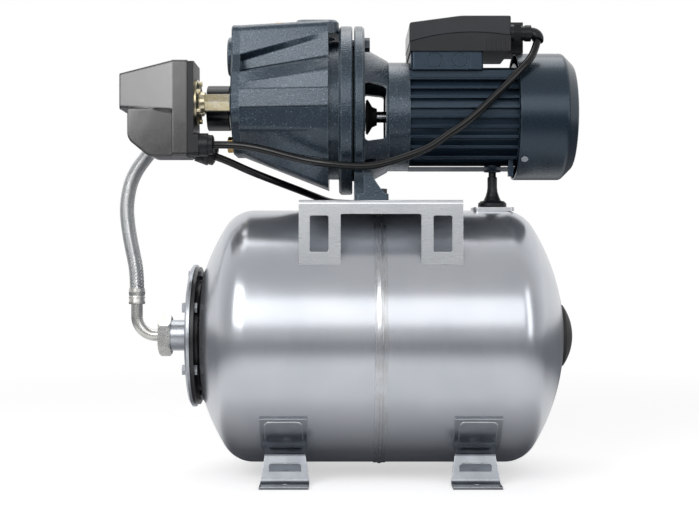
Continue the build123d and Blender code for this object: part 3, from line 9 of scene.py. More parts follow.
import bpy
import numpy as np
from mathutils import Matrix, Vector


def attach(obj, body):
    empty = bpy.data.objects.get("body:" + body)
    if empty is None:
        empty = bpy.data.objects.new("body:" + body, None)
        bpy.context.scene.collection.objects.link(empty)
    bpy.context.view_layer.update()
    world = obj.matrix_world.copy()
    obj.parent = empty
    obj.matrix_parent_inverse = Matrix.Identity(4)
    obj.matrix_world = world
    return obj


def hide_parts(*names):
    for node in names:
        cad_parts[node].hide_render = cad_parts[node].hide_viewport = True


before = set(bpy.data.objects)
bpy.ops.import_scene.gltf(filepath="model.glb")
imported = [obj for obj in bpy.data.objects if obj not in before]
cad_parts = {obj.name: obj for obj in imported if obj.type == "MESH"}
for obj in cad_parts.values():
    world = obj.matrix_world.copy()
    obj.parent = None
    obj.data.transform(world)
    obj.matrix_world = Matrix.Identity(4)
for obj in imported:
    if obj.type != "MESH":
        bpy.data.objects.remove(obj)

LOG = logging.getLogger("booster_pump")
MM = 0.001

Tree = bpy.types.NodeTree
Socket = bpy.types.NodeSocket
Point = tuple[float, float, float]

# Inputs of a Map Range node, and the sockets of a Mix node that are for colours, whose names repeat.
VALUE, LOW, HIGH, START, END = range(5)
SHARE, UNDER, OVER, MIXED = 0, 6, 7, 2
# Nearly all of a noise lies between these values.
NOISE_LOW, NOISE_HIGH = 0.3, 0.7
WHITE = "ffffff"


class Along(Enum):
    """Direction in which a finish was rolled, ground or drawn: 0.04 draws its grains out 25 times."""

    NONE = (1.0, 1.0, 1.0)
    X = (0.04, 1.0, 1.0)
    AROUND_X = (1.0, 0.04, 0.04)


def linear(code: str) -> tuple[float, float, float, float]:
    """Turns an sRGB hex colour into linear light.

    Args:
        code: six hex digits, such as "8a9ba5".

    Returns:
        Red, green and blue in linear light, and an alpha of one.
    """
    parts = [int(code[i:i + 2], 16) / 255 for i in (0, 2, 4)]
    light = [c / 12.92 if c <= 0.04045 else ((c + 0.055) / 1.055) ** 2.4 for c in parts]
    return light[0], light[1], light[2], 1.0


def add(tree: Tree, kind: str, inputs: dict | None = None, **settings: object) -> bpy.types.Node:
    """Adds one node to a tree, with its settings, values and links.

    Args:
        tree: the node tree of a material or a world.
        kind: Blender's type name of the node, without "ShaderNode".
        inputs: socket name or number to a value or to what feeds it: a socket, or a node for its first one.
        settings: properties of the node itself.

    Returns:
        The new node.
    """
    node = tree.nodes.new("ShaderNode" + kind)
    for name, value in settings.items():
        setattr(node, name, value)
    for socket, value in (inputs or {}).items():
        if isinstance(value, bpy.types.Node):
            value = value.outputs[0]
        if isinstance(value, Socket):
            tree.links.new(value, node.inputs[socket])
        else:
            node.inputs[socket].default_value = value
    return node


def blank(name: str) -> tuple[bpy.types.Material, Tree]:
    """Makes an empty node material.

    Args:
        name: name of the material.

    Returns:
        The material and its tree.
    """
    material = bpy.data.materials.new(name)
    material.use_nodes = True
    material.node_tree.nodes.clear()
    return material, material.node_tree


def grains(tree: Tree, size_mm: float, along: Along = Along.NONE, detail: float = 3.0) -> Socket:
    """Grains or clouds of a real size, from fractal noise in object space.

    Args:
        tree: the node tree.
        size_mm: size of the largest grains in millimetres.
        along: direction in which the grains are drawn out into lines.
        detail: number of finer layers.

    Returns:
        The noise value, from 0 to 1 with its middle near 0.5.
    """
    place = add(tree, "TexCoord").outputs["Object"]
    if along is not Along.NONE:
        place = add(tree, "Mapping", {"Vector": place, "Scale": along.value})
    return add(tree, "TexNoise", {"Vector": place, "Scale": 1 / (size_mm * MM), "Detail": detail}).outputs[0]


def soft_edges(tree: Tree, radius_mm: float) -> tuple[Socket, Socket]:
    """Rounds the sharp edges for the light and finds where they are, from how far the rounded normal leans.

    Args:
        tree: the node tree.
        radius_mm: radius of the rounding in millimetres.

    Returns:
        The rounded normal, and a share that is 0 up to a lean of 10 degrees and 1 from 26 degrees on.
    """
    rounded = add(tree, "Bevel", {"Radius": radius_mm * MM}, samples=6).outputs[0]
    plain = add(tree, "NewGeometry").outputs["Normal"]
    agree = add(tree, "VectorMath", {0: rounded, 1: plain}, operation="DOT_PRODUCT").outputs["Value"]
    return rounded, add(tree, "MapRange", {VALUE: agree, LOW: 0.985, HIGH: 0.9}).outputs[0]


def layered(tree: Tree, colour: str, *layers: tuple[bpy.types.Node, str]) -> Socket:
    """Lays colours over one another.

    Args:
        tree: the node tree.
        colour: hex code of the lowest colour.
        layers: for each colour over it, the node that gives its share from 0 to 1, and its hex code.

    Returns:
        The colour that shows.
    """
    shown = linear(colour)
    for share, code in layers:
        mixed = add(tree, "Mix", {SHARE: share, UNDER: shown, OVER: linear(code)}, data_type="RGBA")
        shown = mixed.outputs[MIXED]
    return shown


@dataclass(frozen=True)
class Finish:
    """What all finishes share: a colour, and fine grains that carry the roughness and a bump.

    Fields:
        name: what the finish is.
        colour: its main colour.
        roughness: middle of the roughness.
        spread: how much the roughness wanders with the grains.
        grain_mm: size of the grains. Those that are too fine to show are drawn up to ten times coarser.
        grain_depth_mm: their depth.
    """

    name: str
    colour: str
    roughness: float
    spread: float = 0.05
    grain_mm: float = 1.0
    grain_depth_mm: float = 0.0

    def build(self) -> bpy.types.Material:
        """Makes the Blender material, each kind of finish in its own way."""
        raise NotImplementedError

    def close(self, tree: Tree, grain: Socket, inputs: dict[str, object]) -> None:
        """Ends a material in one Principled surface, whose roughness and bump follow the grains.

        Args:
            tree: the node tree.
            grain: the grains, from 0 to 1.
            inputs: the other inputs by name. A normal among them is what the grains lie on.
        """
        inputs["Roughness"] = self.roughness
        if self.spread:
            inputs["Roughness"] = add(tree, "MapRange", {
                VALUE: grain, LOW: NOISE_LOW, HIGH: NOISE_HIGH,
                START: self.roughness - self.spread, END: self.roughness + self.spread})
        if self.grain_depth_mm:
            height = {"Height": grain, "Distance": self.grain_depth_mm * MM}
            if "Normal" in inputs:
                height["Normal"] = inputs["Normal"]
            inputs["Normal"] = add(tree, "Bump", height)
        add(tree, "OutputMaterial", {"Surface": add(tree, "BsdfPrincipled", inputs)})


@dataclass(frozen=True, kw_only=True)
class Metal(Finish):
    """Bare or plated metal: lines from how it was worked, and soft clouds in its tint.

    Fields:
        cloud: colour of the clouds.
        along: direction of the lines.
        cloud_mm: size of the clouds.
        bare: 1 for clean metal, less where a milky film or fine haze lies on it.
        edge_mm: radius to which the edges are rounded and painted paler, as wear and as a painted highlight,
            or 0 where the mesh is round already.
    """

    cloud: str
    spread: float = 0.06
    grain_depth_mm: float = 0.004
    along: Along = Along.NONE
    cloud_mm: float = 30.0
    bare: float = 1.0
    edge_mm: float = 0.5

    def build(self) -> bpy.types.Material:
        """Makes the material. Its edges go six tenths of the way to a pale grey, partly metal worn bright
        and partly a painted highlight.

        Returns:
            The Blender material.
        """
        material, tree = blank(self.name)
        grain = grains(tree, self.grain_mm, self.along)
        clouds = grains(tree, self.cloud_mm, detail=2.0)
        layers = [(add(tree, "MapRange", {VALUE: clouds, LOW: 0.35, HIGH: 0.65}), self.cloud)]
        inputs = {"Metallic": self.bare}
        if self.edge_mm:
            inputs["Normal"], edge = soft_edges(tree, self.edge_mm)
            # Pale edges: partly wear, partly a painted highlight along the rounding.
            layers.append((add(tree, "Math", {0: edge, 1: 0.6}, operation="MULTIPLY"), "eceef0"))
        inputs["Base Color"] = layered(tree, self.colour, *layers)
        self.close(tree, grain, inputs)
        return material


@dataclass(frozen=True, kw_only=True)
class Paint(Finish):
    """Paint over cast or pressed metal, whose grain and lumps show. High grains and edges are paler, partly
    worn paint and partly painted glints.

    Fields:
        wear_and_glint: pale colour of the high grains and edges, for worn paint and for painted glints.
        lump_mm: size of the slow waves of the casting.
        lump_depth_mm: their depth.
        wear_and_glint_reach: how far down the grains go pale, from 0 for their tops to 1.
        coat: weight of a gloss layer over the paint.
        edge_mm: radius to which the edges are rounded.
        edge_wear_and_glint: how pale the edges are, from 0 to 1, as wear and as a painted highlight.
        ior: refractive index of the paint.
        sheen: tint of what the paint reflects.
    """

    wear_and_glint: str
    spread: float = -0.08
    lump_mm: float
    lump_depth_mm: float
    wear_and_glint_reach: float
    coat: float
    edge_mm: float
    edge_wear_and_glint: float
    ior: float = 1.5
    sheen: str = "b6cfe6"

    def build(self) -> bpy.types.Material:
        """Makes the material. A grain goes pale, as wear and as a painted glint, where its noise passes
        0.72, less 0.2 times wear_and_glint_reach.

        Returns:
            The Blender material.
        """
        material, tree = blank(self.name)
        grain = grains(tree, self.grain_mm, detail=4.0)
        lump = grains(tree, self.lump_mm, detail=2.0)
        rounded, edge = soft_edges(tree, self.edge_mm)
        cast = {"Height": lump, "Distance": self.lump_depth_mm * MM, "Normal": rounded}
        # Pale grain tops and edges: partly worn paint, partly painted glints and edge highlights.
        tip, fade = 0.72 - 0.2 * self.wear_and_glint_reach, 0.08
        tip_wear_and_glint = add(tree, "MapRange", {VALUE: grain, LOW: tip, HIGH: tip + fade, START: 0.0, END: 0.8})
        broken = add(tree, "MapRange", {VALUE: grain, LOW: 0.4, HIGH: 0.6, START: 0.2, END: self.edge_wear_and_glint})
        edge_chips_and_glint = add(tree, "Math", {0: edge, 1: broken}, operation="MULTIPLY")
        self.close(tree, grain, {
            "Base Color": layered(tree, self.colour, (tip_wear_and_glint, self.wear_and_glint), (edge_chips_and_glint, self.wear_and_glint)),
            "IOR": self.ior,
            "Specular Tint": linear(self.sheen),
            "Coat Weight": self.coat,
            "Coat Roughness": 0.22,
            "Normal": add(tree, "Bump", cast),
        })
        return material


@dataclass(frozen=True, kw_only=True)
class Moulded(Finish):
    """Moulded plastic or rubber: an eroded texture, and slow sink waves in which the colour drifts.

    Fields:
        drift: colour of the waves' tops.
        wave_depth_mm: depth of the sink waves.
        ior: refractive index.
        edge_mm: radius to which the edges are rounded, or 0 where the CAD's own edges are right.
    """

    drift: str
    grain_mm: float = 0.8
    grain_depth_mm: float = 0.02
    wave_depth_mm: float = 0.1
    ior: float = 1.52
    edge_mm: float = 0.0

    def build(self) -> bpy.types.Material:
        """Makes the material. The sink waves are 25 mm long, as between a moulding's ribs.

        Returns:
            The Blender material.
        """
        material, tree = blank(self.name)
        grain = grains(tree, self.grain_mm)
        wave = grains(tree, 25.0, detail=1.0)
        sunk = {"Height": wave, "Distance": self.wave_depth_mm * MM}
        if self.edge_mm:
            sunk["Normal"] = add(tree, "Bevel", {"Radius": self.edge_mm * MM}, samples=6)
        share = add(tree, "MapRange", {VALUE: wave, LOW: NOISE_LOW, HIGH: NOISE_HIGH})
        self.close(tree, grain, {
            "Base Color": layered(tree, self.colour, (share, self.drift)),
            "IOR": self.ior,
            "Normal": add(tree, "Bump", sunk),
        })
        return material


@dataclass(frozen=True, kw_only=True)
class Clear(Finish):
    """Clear moulded plastic, with a faint haze in its grains."""

    def build(self) -> bpy.types.Material:
        """Makes the material.

        Returns:
            The Blender material.
        """
        material, tree = blank(self.name)
        self.close(tree, grains(tree, self.grain_mm), {
            "Base Color": linear(self.colour),
            "IOR": 1.49,
            "Transmission Weight": 1.0,
        })
        return material


@dataclass(frozen=True, kw_only=True)
class Stacked(Finish):
    """Punched steel sheets pressed into a stack: bands across the X axis.

    Fields:
        gap: colour between two bands.
        band_mm: thickness of a band, and of the gap after it.
    """

    gap: str
    spread: float = 0.0
    band_mm: float

    def build(self) -> bpy.types.Material:
        """Makes the material. Blender's wave repeats every 0.314 m at a scale of 1.

        Returns:
            The Blender material.
        """
        material, tree = blank(self.name)
        place = add(tree, "TexCoord").outputs["Object"]
        repeat = 2 * self.band_mm * MM
        wave = add(tree, "TexWave", {"Vector": place, "Scale": 0.314 / repeat, "Distortion": 0.4},
                   bands_direction="X").outputs["Fac"]
        between = add(tree, "MapRange", {VALUE: wave, LOW: 0.1, HIGH: 0.6, START: 1.0, END: 0.0})
        self.close(tree, wave, {
            "Base Color": layered(tree, self.colour, (between, self.gap)),
            "Metallic": 1.0,
        })
        return material


@dataclass(frozen=True, kw_only=True)
class Woven(Finish):
    """Ribbons of fine stainless wires side by side.

    Fields:
        gap: painted shade in the valley between two wires.
        shaded: painted shade on the ribbons that turn the other way, standing in for how they throw the
            light aside.
        wires: wires in a ribbon. The real one has about nine, drawn as fewer so that they show.
    """

    gap: str
    shaded: str
    wires: int = 5

    def build(self) -> bpy.types.Material:
        """Makes the material. U goes from 0 to 1 across a ribbon, from 1 to 2 if it turns the other way.

        The height across a ribbon is the size of the sine of pi times U times the wires: each wire is bowed.

        Returns:
            The Blender material.
        """
        material, tree = blank(self.name)
        across = add(tree, "SeparateXYZ", {0: add(tree, "UVMap")})
        turn = add(tree, "Math", {0: across, 1: self.wires * np.pi}, operation="MULTIPLY")
        swing = add(tree, "Math", {0: turn}, operation="SINE")
        bow = add(tree, "Math", {0: swing}, operation="ABSOLUTE")
        # Painted shade: the ribbons of the other way are darker, for how they throw the light aside.
        other = add(tree, "MapRange", {VALUE: across, LOW: 0.99, HIGH: 1.01})
        # Painted shade in the valleys between wires, where the bow is low.
        between = add(tree, "MapRange", {VALUE: bow, LOW: 0.1, HIGH: 0.6, START: 1.0, END: 0.0})
        self.close(tree, grains(tree, self.grain_mm), {
            "Base Color": layered(tree, self.colour, (other, self.shaded), (between, self.gap)),
            "Metallic": 0.82,
            "Normal": add(tree, "Bump", {"Height": bow, "Distance": 0.09 * MM}),
        })
        return material


@dataclass(frozen=True, kw_only=True)
class PinnedPlug(Finish):
    """Rubber plug with bare metal pins: what lies past a plane across the plug is metal.

    Fields:
        pins: colour of the pins.
        start: where the plug's axis begins, in millimetres.
        heading: direction of the axis.
        reach: distance along the axis at which the body ends, in millimetres.
    """

    pins: str
    start: Point
    heading: Point
    reach: float

    def build(self) -> bpy.types.Material:
        """Makes the material. It turns from rubber to metal within a tenth of a millimetre.

        Returns:
            The Blender material.
        """
        material, tree = blank(self.name)
        place = add(tree, "TexCoord").outputs["Object"]
        offset = add(tree, "VectorMath", {0: place, 1: Vector(self.start) * MM}, operation="SUBTRACT")
        along = add(tree, "VectorMath", {0: offset, 1: Vector(self.heading).normalized()},
                    operation="DOT_PRODUCT").outputs["Value"]
        low, high = ((self.reach + side) * MM for side in (-0.05, 0.05))
        bare = add(tree, "MapRange", {VALUE: along, LOW: low, HIGH: high})
        self.close(tree, grains(tree, self.grain_mm), {
            "Base Color": layered(tree, self.colour, (bare, self.pins)),
            "Metallic": bare,
        })
        return material


@dataclass(frozen=True, kw_only=True)
class ScaledDial(Finish):
    """Enamelled dial with printed ticks round its centre, all the way but for a gap at the bottom.

    Fields:
        ink: colour of the ticks.
        centre: middle of the dial in millimetres.
        inner, outer: radii between which the ticks run.
        ticks: ticks in a full turn.
        sweep: half of the angle that the scale takes, in degrees.
        half_width: half the angle that a tick takes, in degrees.
    """

    ink: str
    centre: Point
    inner: float = 15.5
    outer: float = 19.5
    ticks: int = 24
    sweep: float = 136.0
    half_width: float = 1.6

    def build(self) -> bpy.types.Material:
        """Makes the material: a tick is where the angle from the top is close to a whole number of steps.

        Returns:
            The Blender material.
        """
        material, tree = blank(self.name)
        place = add(tree, "TexCoord").outputs["Object"]
        offset = add(tree, "VectorMath", {0: place, 1: Vector(self.centre) * MM}, operation="SUBTRACT")
        flat = add(tree, "VectorMath", {0: offset, 1: (0, 1, 1)}, operation="MULTIPLY")
        radius = add(tree, "VectorMath", {0: flat}, operation="LENGTH").outputs["Value"]
        split = add(tree, "SeparateXYZ", {0: flat}).outputs
        angle = add(tree, "Math", {0: split["Y"], 1: split["Z"]}, operation="ARCTAN2")
        turn = add(tree, "Math", {0: angle}, operation="ABSOLUTE")
        nearest = add(tree, "Math", {0: turn, 1: np.pi / self.ticks}, operation="PINGPONG")
        half = radians(self.half_width)
        inked = add(tree, "MapRange", {VALUE: nearest, LOW: half * 0.8, HIGH: half, START: 1.0, END: 0.0})
        swept = add(tree, "Math", {0: turn, 1: radians(self.sweep)}, operation="LESS_THAN")
        limits = [add(tree, "MapRange", {VALUE: radius, LOW: (limit - blur) * MM, HIGH: (limit + blur) * MM})
                  for limit, blur in ((self.inner, 0.1), (self.outer, -0.1))]
        for inside in (*limits, swept):
            inked = add(tree, "Math", {0: inked, 1: inside}, operation="MULTIPLY")
        self.close(tree, grains(tree, self.grain_mm), {
            "Base Color": layered(tree, self.colour, (inked, self.ink)),
        })
        return material


# Deep drawn stainless, polished on the lathe: a soft mirror with faint lines round the shell.
POLISHED_SHELL = Metal("deep drawn polished stainless steel", "c9ccd2", 0.23, cloud="c2c6cd", spread=0.02,
                       grain_mm=1.6, grain_depth_mm=0.0012, along=Along.AROUND_X, cloud_mm=60.0, bare=0.78,
                       edge_mm=0.0)
# The lapped joint and its weld: greyer and slightly duller than the shell.
WELD_ZONE = Metal("heat tinted weld in stainless steel", "c4c7cc", 0.26, cloud="babbbd", spread=0.05,
                  grain_mm=1.2, grain_depth_mm=0.006, along=Along.AROUND_X, cloud_mm=12.0, bare=0.9,
                  edge_mm=0.0)
# Pressed bright sheet: clear reflections with faint rolling lines along X.
PRESSED_SHEET = Metal("pressed bright stainless sheet", "e0e2e5", 0.28, cloud="d6d9dd", spread=0.015,
                      grain_depth_mm=0.0007, along=Along.X, cloud_mm=40.0, bare=0.84, edge_mm=0.6)
# The same sheet in the stamped feet: its colour darkened as painted shade, with wide bright edges, partly a
# painted highlight over their rounding.
STAMPED_FOOT = Metal("stamped stainless foot", "9ea2a8", 0.22, cloud="92969c", spread=0.03, grain_mm=1.2,
                     grain_depth_mm=0.0012, along=Along.X, cloud_mm=18.0, edge_mm=1.2)
# Galvanised steel: cool, spotted, half dull.
ZINC = Metal("bright zinc plated steel", "bdc1c7", 0.32, cloud="adb1b8", grain_mm=1.5, cloud_mm=14.0)
# Blackened high tensile bolts: dark and dull, with a thin bright edge that is partly a painted highlight.
BLACK_STEEL = Metal("blackened steel bolts", "4a4e55", 0.35, cloud="33363b", spread=0.08, grain_mm=1.2,
                    grain_depth_mm=0.006, cloud_mm=6.0, edge_mm=0.3)
# Yellow passivated zinc: pale gold that drifts to olive.
YELLOW_ZINC = Metal("yellow passivated zinc plate", "d3cab4", 0.24, cloud="c2b78f", grain_mm=1.2,
                    grain_depth_mm=0.003, cloud_mm=7.0)
# Turned brass, a little tarnished: brownish gold with fine rings.
BRASS = Metal("turned brass", "c9a566", 0.28, cloud="b08d52", grain_mm=0.8, grain_depth_mm=0.006,
              along=Along.AROUND_X, cloud_mm=10.0)
# Nickel plated brass fittings: a warm, soft mirror.
NICKEL = Metal("nickel plated brass", "dadad7", 0.27, cloud="cbc9c4", spread=0.04, grain_depth_mm=0.0015,
               cloud_mm=12.0, bare=0.82, edge_mm=0.0)
# Ground steel of the shaft and bearings: bright, with fine rings.
GROUND_STEEL = Metal("ground steel", "b5b8bc", 0.25, cloud="a4a7ac", spread=0.05, grain_mm=0.8,
                     grain_depth_mm=0.003, along=Along.AROUND_X, cloud_mm=20.0)
# Drawn aluminium can: soft grey with lines along it.
ALUMINIUM = Metal("drawn aluminium", "c4c6c8", 0.35, cloud="b2b5b8", spread=0.05, along=Along.X,
                  cloud_mm=20.0)

# Grey iron cast in sand, dipped in dark blue grey paint: gritty and speckled with glints, partly real gloss
# and partly painted pale grain tops and edges.
CAST_PAINT = Paint("dark blue grey paint on sand cast iron", "1b2630", 0.3, wear_and_glint="8a9eac", grain_mm=1.8,
                   grain_depth_mm=0.62, lump_mm=11.0, lump_depth_mm=0.5, wear_and_glint_reach=0.4, coat=0.6, edge_mm=1.3,
                   edge_wear_and_glint=1.0, ior=1.8)
# Die cast aluminium motor housing under semi gloss paint: smooth, with soft highlights along its fins,
# partly painted pale on their edges.
MOTOR_PAINT = Paint("blue grey semi gloss paint on die cast aluminium", "243240", 0.34, wear_and_glint="7c8d98",
                    grain_mm=2.0, grain_depth_mm=0.1, lump_mm=12.0, lump_depth_mm=0.3, wear_and_glint_reach=0.1, coat=0.1,
                    edge_mm=0.6, edge_wear_and_glint=0.5)
# Deep drawn steel fan cover, powder coated: a broad sheen that turns softly round its corner.
COVER_PAINT = Paint("blue grey powder coat on drawn steel", "1d2a35", 0.28, wear_and_glint="66747e", grain_mm=1.4,
                    grain_depth_mm=0.006, lump_mm=30.0, lump_depth_mm=0.12, wear_and_glint_reach=0.0, coat=0.3, edge_mm=2.5,
                    edge_wear_and_glint=0.4, ior=1.6)
# Thick black enamel on the tank's neck: black with a plain white sheen.
NECK_ENAMEL = Paint("black enamel on pressed steel", "1e2022", 0.4, wear_and_glint="4c5055", grain_mm=1.5,
                    grain_depth_mm=0.05, lump_mm=15.0, lump_depth_mm=0.3, wear_and_glint_reach=0.1, coat=0.3, edge_mm=0.8,
                    edge_wear_and_glint=0.3, sheen=WHITE)

# Black ABS of the box's lid and the gauge's case, as moulded: an even, weak gloss.
GLOSS_BLACK = Moulded("black gloss ABS", "121920", 0.22, drift="171e26", grain_mm=1.0, grain_depth_mm=0.003,
                      wave_depth_mm=0.12, ior=1.4, edge_mm=1.0)
# Black glass filled nylon, as moulded: matt, with a fine grain.
MATT_BLACK = Moulded("black glass filled nylon", "121519", 0.4, drift="1b1e23", grain_depth_mm=0.015,
                     ior=1.42)
# Dark grey ABS of the switch: a strong soft sheen that picks up the studio's lights.
SWITCH_GREY = Moulded("dark grey semi gloss ABS", "1c1c1e", 0.15, drift="222324", grain_mm=1.0,
                      grain_depth_mm=0.003, wave_depth_mm=0.12, ior=1.9, edge_mm=3.0)
# Vulcanised rubber: dark and without gloss.
RUBBER = Moulded("black rubber", "222222", 0.6, drift="2c2b2a", grain_mm=1.0, grain_depth_mm=0.03, ior=1.5)
# Soft PVC of the cables: black with one narrow highlight.
CABLE_SKIN = Moulded("black cable PVC", "08090b", 0.22, drift="0e0f11", grain_mm=0.6, grain_depth_mm=0.004,
                     wave_depth_mm=0.03, ior=1.46)
# Pressed fibre of the casing's joint: dull, dark grey and a little hairy.
FIBRE = Moulded("pressed fibre sheet", "4a4d4b", 0.8, drift="565955", grain_mm=0.7, grain_depth_mm=0.05)
# Fired and glazed ceramic of the terminal block and the shaft's seal: warm white with a clear gloss.
PORCELAIN = Moulded("white glazed ceramic", "e3e1da", 0.25, drift="d8d5cc", grain_mm=1.0,
                    grain_depth_mm=0.01)
# Injection moulded polycarbonate: clear, with the faintest haze.
LENS = Clear("clear polycarbonate lens", "f4f7f6", 0.05, spread=0.02, grain_mm=4.0)

# Stator and rotor sheets, half a millimetre each, drawn as 1.5 mm bands so that they show: steel stripes.
LAMINATIONS = Stacked("stacked electrical sheet", "8d9196", 0.45, gap="3c3e42", grain_depth_mm=0.1,
                      band_mm=1.5)
# Drawn stainless wires, woven in ribbons: pale and sparkling, the ribbons of one way in painted shade for
# how they throw the light aside, with painted shade in the valleys between wires.
BRAID = Woven("stainless wire braid", "f2f3f3", 0.31, gap="74787b", shaded="b2b5b7", grain_mm=3.0)
# Rubber moulded round the plug's plated pins: a black body and pale metal pins.
PLUG_RUBBER = PinnedPlug("rubber plug with plated pins", "141416", 0.36, pins="d2d0cb", spread=0.06,
                         grain_mm=0.8, grain_depth_mm=0.01, start=(69, 172, 19.3), heading=(13, -6, 0),
                         reach=60.0)
# Enamelled and printed dial: warm white with black ticks.
DIAL = ScaledDial("white enamelled dial", "ecebe6", 0.4, ink="1c1c1e", grain_mm=2.0,
                  centre=(-180.6, 14.0, 395.0))


# Materials by the name of their finish, so that each is made once.
_made: dict[str, bpy.types.Material] = {}


def dress(piece: bpy.types.Object, finish: Finish) -> None:
    """Gives a piece one finish, in place of any it has.

    Args:
        piece: mesh or curve object.
        finish: the finish.
    """
    if finish.name not in _made:
        _made[finish.name] = finish.build()
    piece.data.materials.clear()
    piece.data.materials.append(_made[finish.name])


def mesh_piece(name: str, points: np.ndarray, faces: np.ndarray, body: str, slot: str,
               smooth_deg: float = 40.0) -> bpy.types.Object:
    """Makes a mesh piece that rides on a CAD body.

    Args:
        name: name of the piece.
        points: rows of X, Y, Z in metres.
        faces: rows of four corner numbers, seen anticlockwise from outside.
        body: the CAD body it rides on.
        slot: a material slot name; not used.
        smooth_deg: edges sharper than this stay crisp.

    Returns:
        The new object.
    """
    mesh = bpy.data.meshes.new(name)
    mesh.from_pydata(points, [], faces)
    mesh.polygons.foreach_set("use_smooth", np.ones(len(faces), bool))
    mesh.set_sharp_from_angle(angle=radians(smooth_deg))
    piece = bpy.data.objects.new(name, mesh)
    bpy.context.scene.collection.objects.link(piece)
    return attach(piece, body)


def grid_faces(rows: int, columns: int, wrap_rows: bool = False, wrap_columns: bool = False) -> np.ndarray:
    """Faces of a grid of points numbered row by row.

    Args:
        rows: number of rows.
        columns: points in a row.
        wrap_rows: whether the last row joins the first.
        wrap_columns: whether the last point of a row joins its first.

    Returns:
        Rows of four corner numbers, (r, c), (r, c+1), (r+1, c+1) and (r+1, c), counted round if it wraps.
    """
    starts = np.arange(rows - (not wrap_rows)), np.arange(columns - (not wrap_columns))
    r, c = np.meshgrid(*starts, indexing="ij")
    r2, c2 = (r + 1) % rows, (c + 1) % columns
    corners = [r * columns + c, r * columns + c2, r2 * columns + c2, r2 * columns + c]
    return np.stack(corners, -1).reshape(-1, 4)


def lathe_x(profile: np.ndarray, segments: int, centre_z: float,
            swell: np.ndarray | None = None) -> tuple[np.ndarray, np.ndarray]:
    """Turns a closed profile about an axis along X.

    Point (i, j) is profile point i at angle a_j: X = x_i, Y = -r cos a_j, Z = centre + r sin a_j, where r is
    r_i plus the swell at (i, j). The profile has its outside on its left, with X to the right and r up.

    Args:
        profile: rows of x and r in millimetres, not repeating the first.
        segments: steps of the angle.
        centre_z: height of the axis in millimetres.
        swell: extra radius in millimetres, one row for each profile point and one column for each angle.

    Returns:
        Points in metres, and faces.
    """
    a = np.linspace(0, 2 * np.pi, segments, endpoint=False)
    r = profile[:, 1:2] + (0 if swell is None else swell)
    x = np.broadcast_to(profile[:, 0:1], (len(profile), segments))
    points = np.stack([x, -r * np.cos(a), centre_z + r * np.sin(a)], -1).reshape(-1, 3) * MM
    return points, grid_faces(len(profile), segments, True, True)


def arc_points(x: float, y: float, radius: float, start: float, end: float, count: int) -> np.ndarray:
    """Points on an arc.

    Args:
        x: centre across.
        y: centre up.
        radius: radius.
        start: first angle in degrees.
        end: last angle in degrees.
        count: number of points.

    Returns:
        Rows of centre + radius (cos, sin) of evenly spaced angles.
    """
    a = np.radians(np.linspace(start, end, count))
    return np.stack([x + radius * np.cos(a), y + radius * np.sin(a)], -1)


def nurbs_curve(name: str, route_mm: np.ndarray, radius_mm: float) -> bpy.types.Object:
    """Makes a smooth curve that a route of control points pulls along.

    Args:
        name: name of the object.
        route_mm: rows of X, Y, Z in millimetres.
        radius_mm: radius of its round section, or 0 for a bare line.

    Returns:
        The curve object.
    """
    curve = bpy.data.curves.new(name, "CURVE")
    curve.dimensions = "3D"
    curve.bevel_depth = radius_mm * MM
    curve.bevel_resolution = 5
    curve.use_fill_caps = radius_mm > 0
    curve.resolution_u = 12
    spline = curve.splines.new("NURBS")
    spline.points.add(len(route_mm) - 1)
    spline.points.foreach_set("co", np.column_stack([route_mm * MM, np.ones(len(route_mm))]).ravel())
    spline.order_u = 3
    spline.use_endpoint_u = True
    piece = bpy.data.objects.new(name, curve)
    bpy.context.scene.collection.objects.link(piece)
    return piece


def line_of(guide: bpy.types.Object) -> np.ndarray:
    """Points along a bare curve, which is removed.

    Args:
        guide: curve object with no bevel.

    Returns:
        Rows of X, Y, Z in metres, in order.
    """
    bpy.context.view_layer.update()
    mesh = bpy.data.meshes.new_from_object(guide)
    points = np.empty(len(mesh.vertices) * 3)
    mesh.vertices.foreach_get("co", points)
    bpy.data.meshes.remove(mesh)
    bpy.data.objects.remove(guide)
    return points.reshape(-1, 3)


def evenly(points: np.ndarray, count: int) -> np.ndarray:
    """Places points at even distances along a line.

    Args:
        points: rows of X, Y, Z in order.
        count: number of points wanted.

    Returns:
        Rows found between the given ones by their distance along the line.
    """
    run = np.concatenate([[0], np.cumsum(np.linalg.norm(np.diff(points, axis=0), axis=1))])
    wanted = np.linspace(0, run[-1], count)
    return np.stack([np.interp(wanted, run, points[:, k]) for k in range(3)], -1)


class SubAssembly:
    """Pieces that are made together: CAD nodes that get a finish, and what the CAD leaves to the looks."""

    nodes: ClassVar[dict[str, Finish]] = {}

    def make(self) -> None:
        """Dresses the nodes and builds the extra pieces, and reports each."""
        for node, finish in self.nodes.items():
            dress(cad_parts[node], finish)
            LOG.info("%s: %s in %s", type(self).__name__, node, finish.name)
        for piece in self.extras():
            LOG.info("%s: %s added", type(self).__name__, piece.name)

    def extras(self) -> list[bpy.types.Object]:
        """Pieces beyond the CAD nodes. Most groups have none."""
        return []


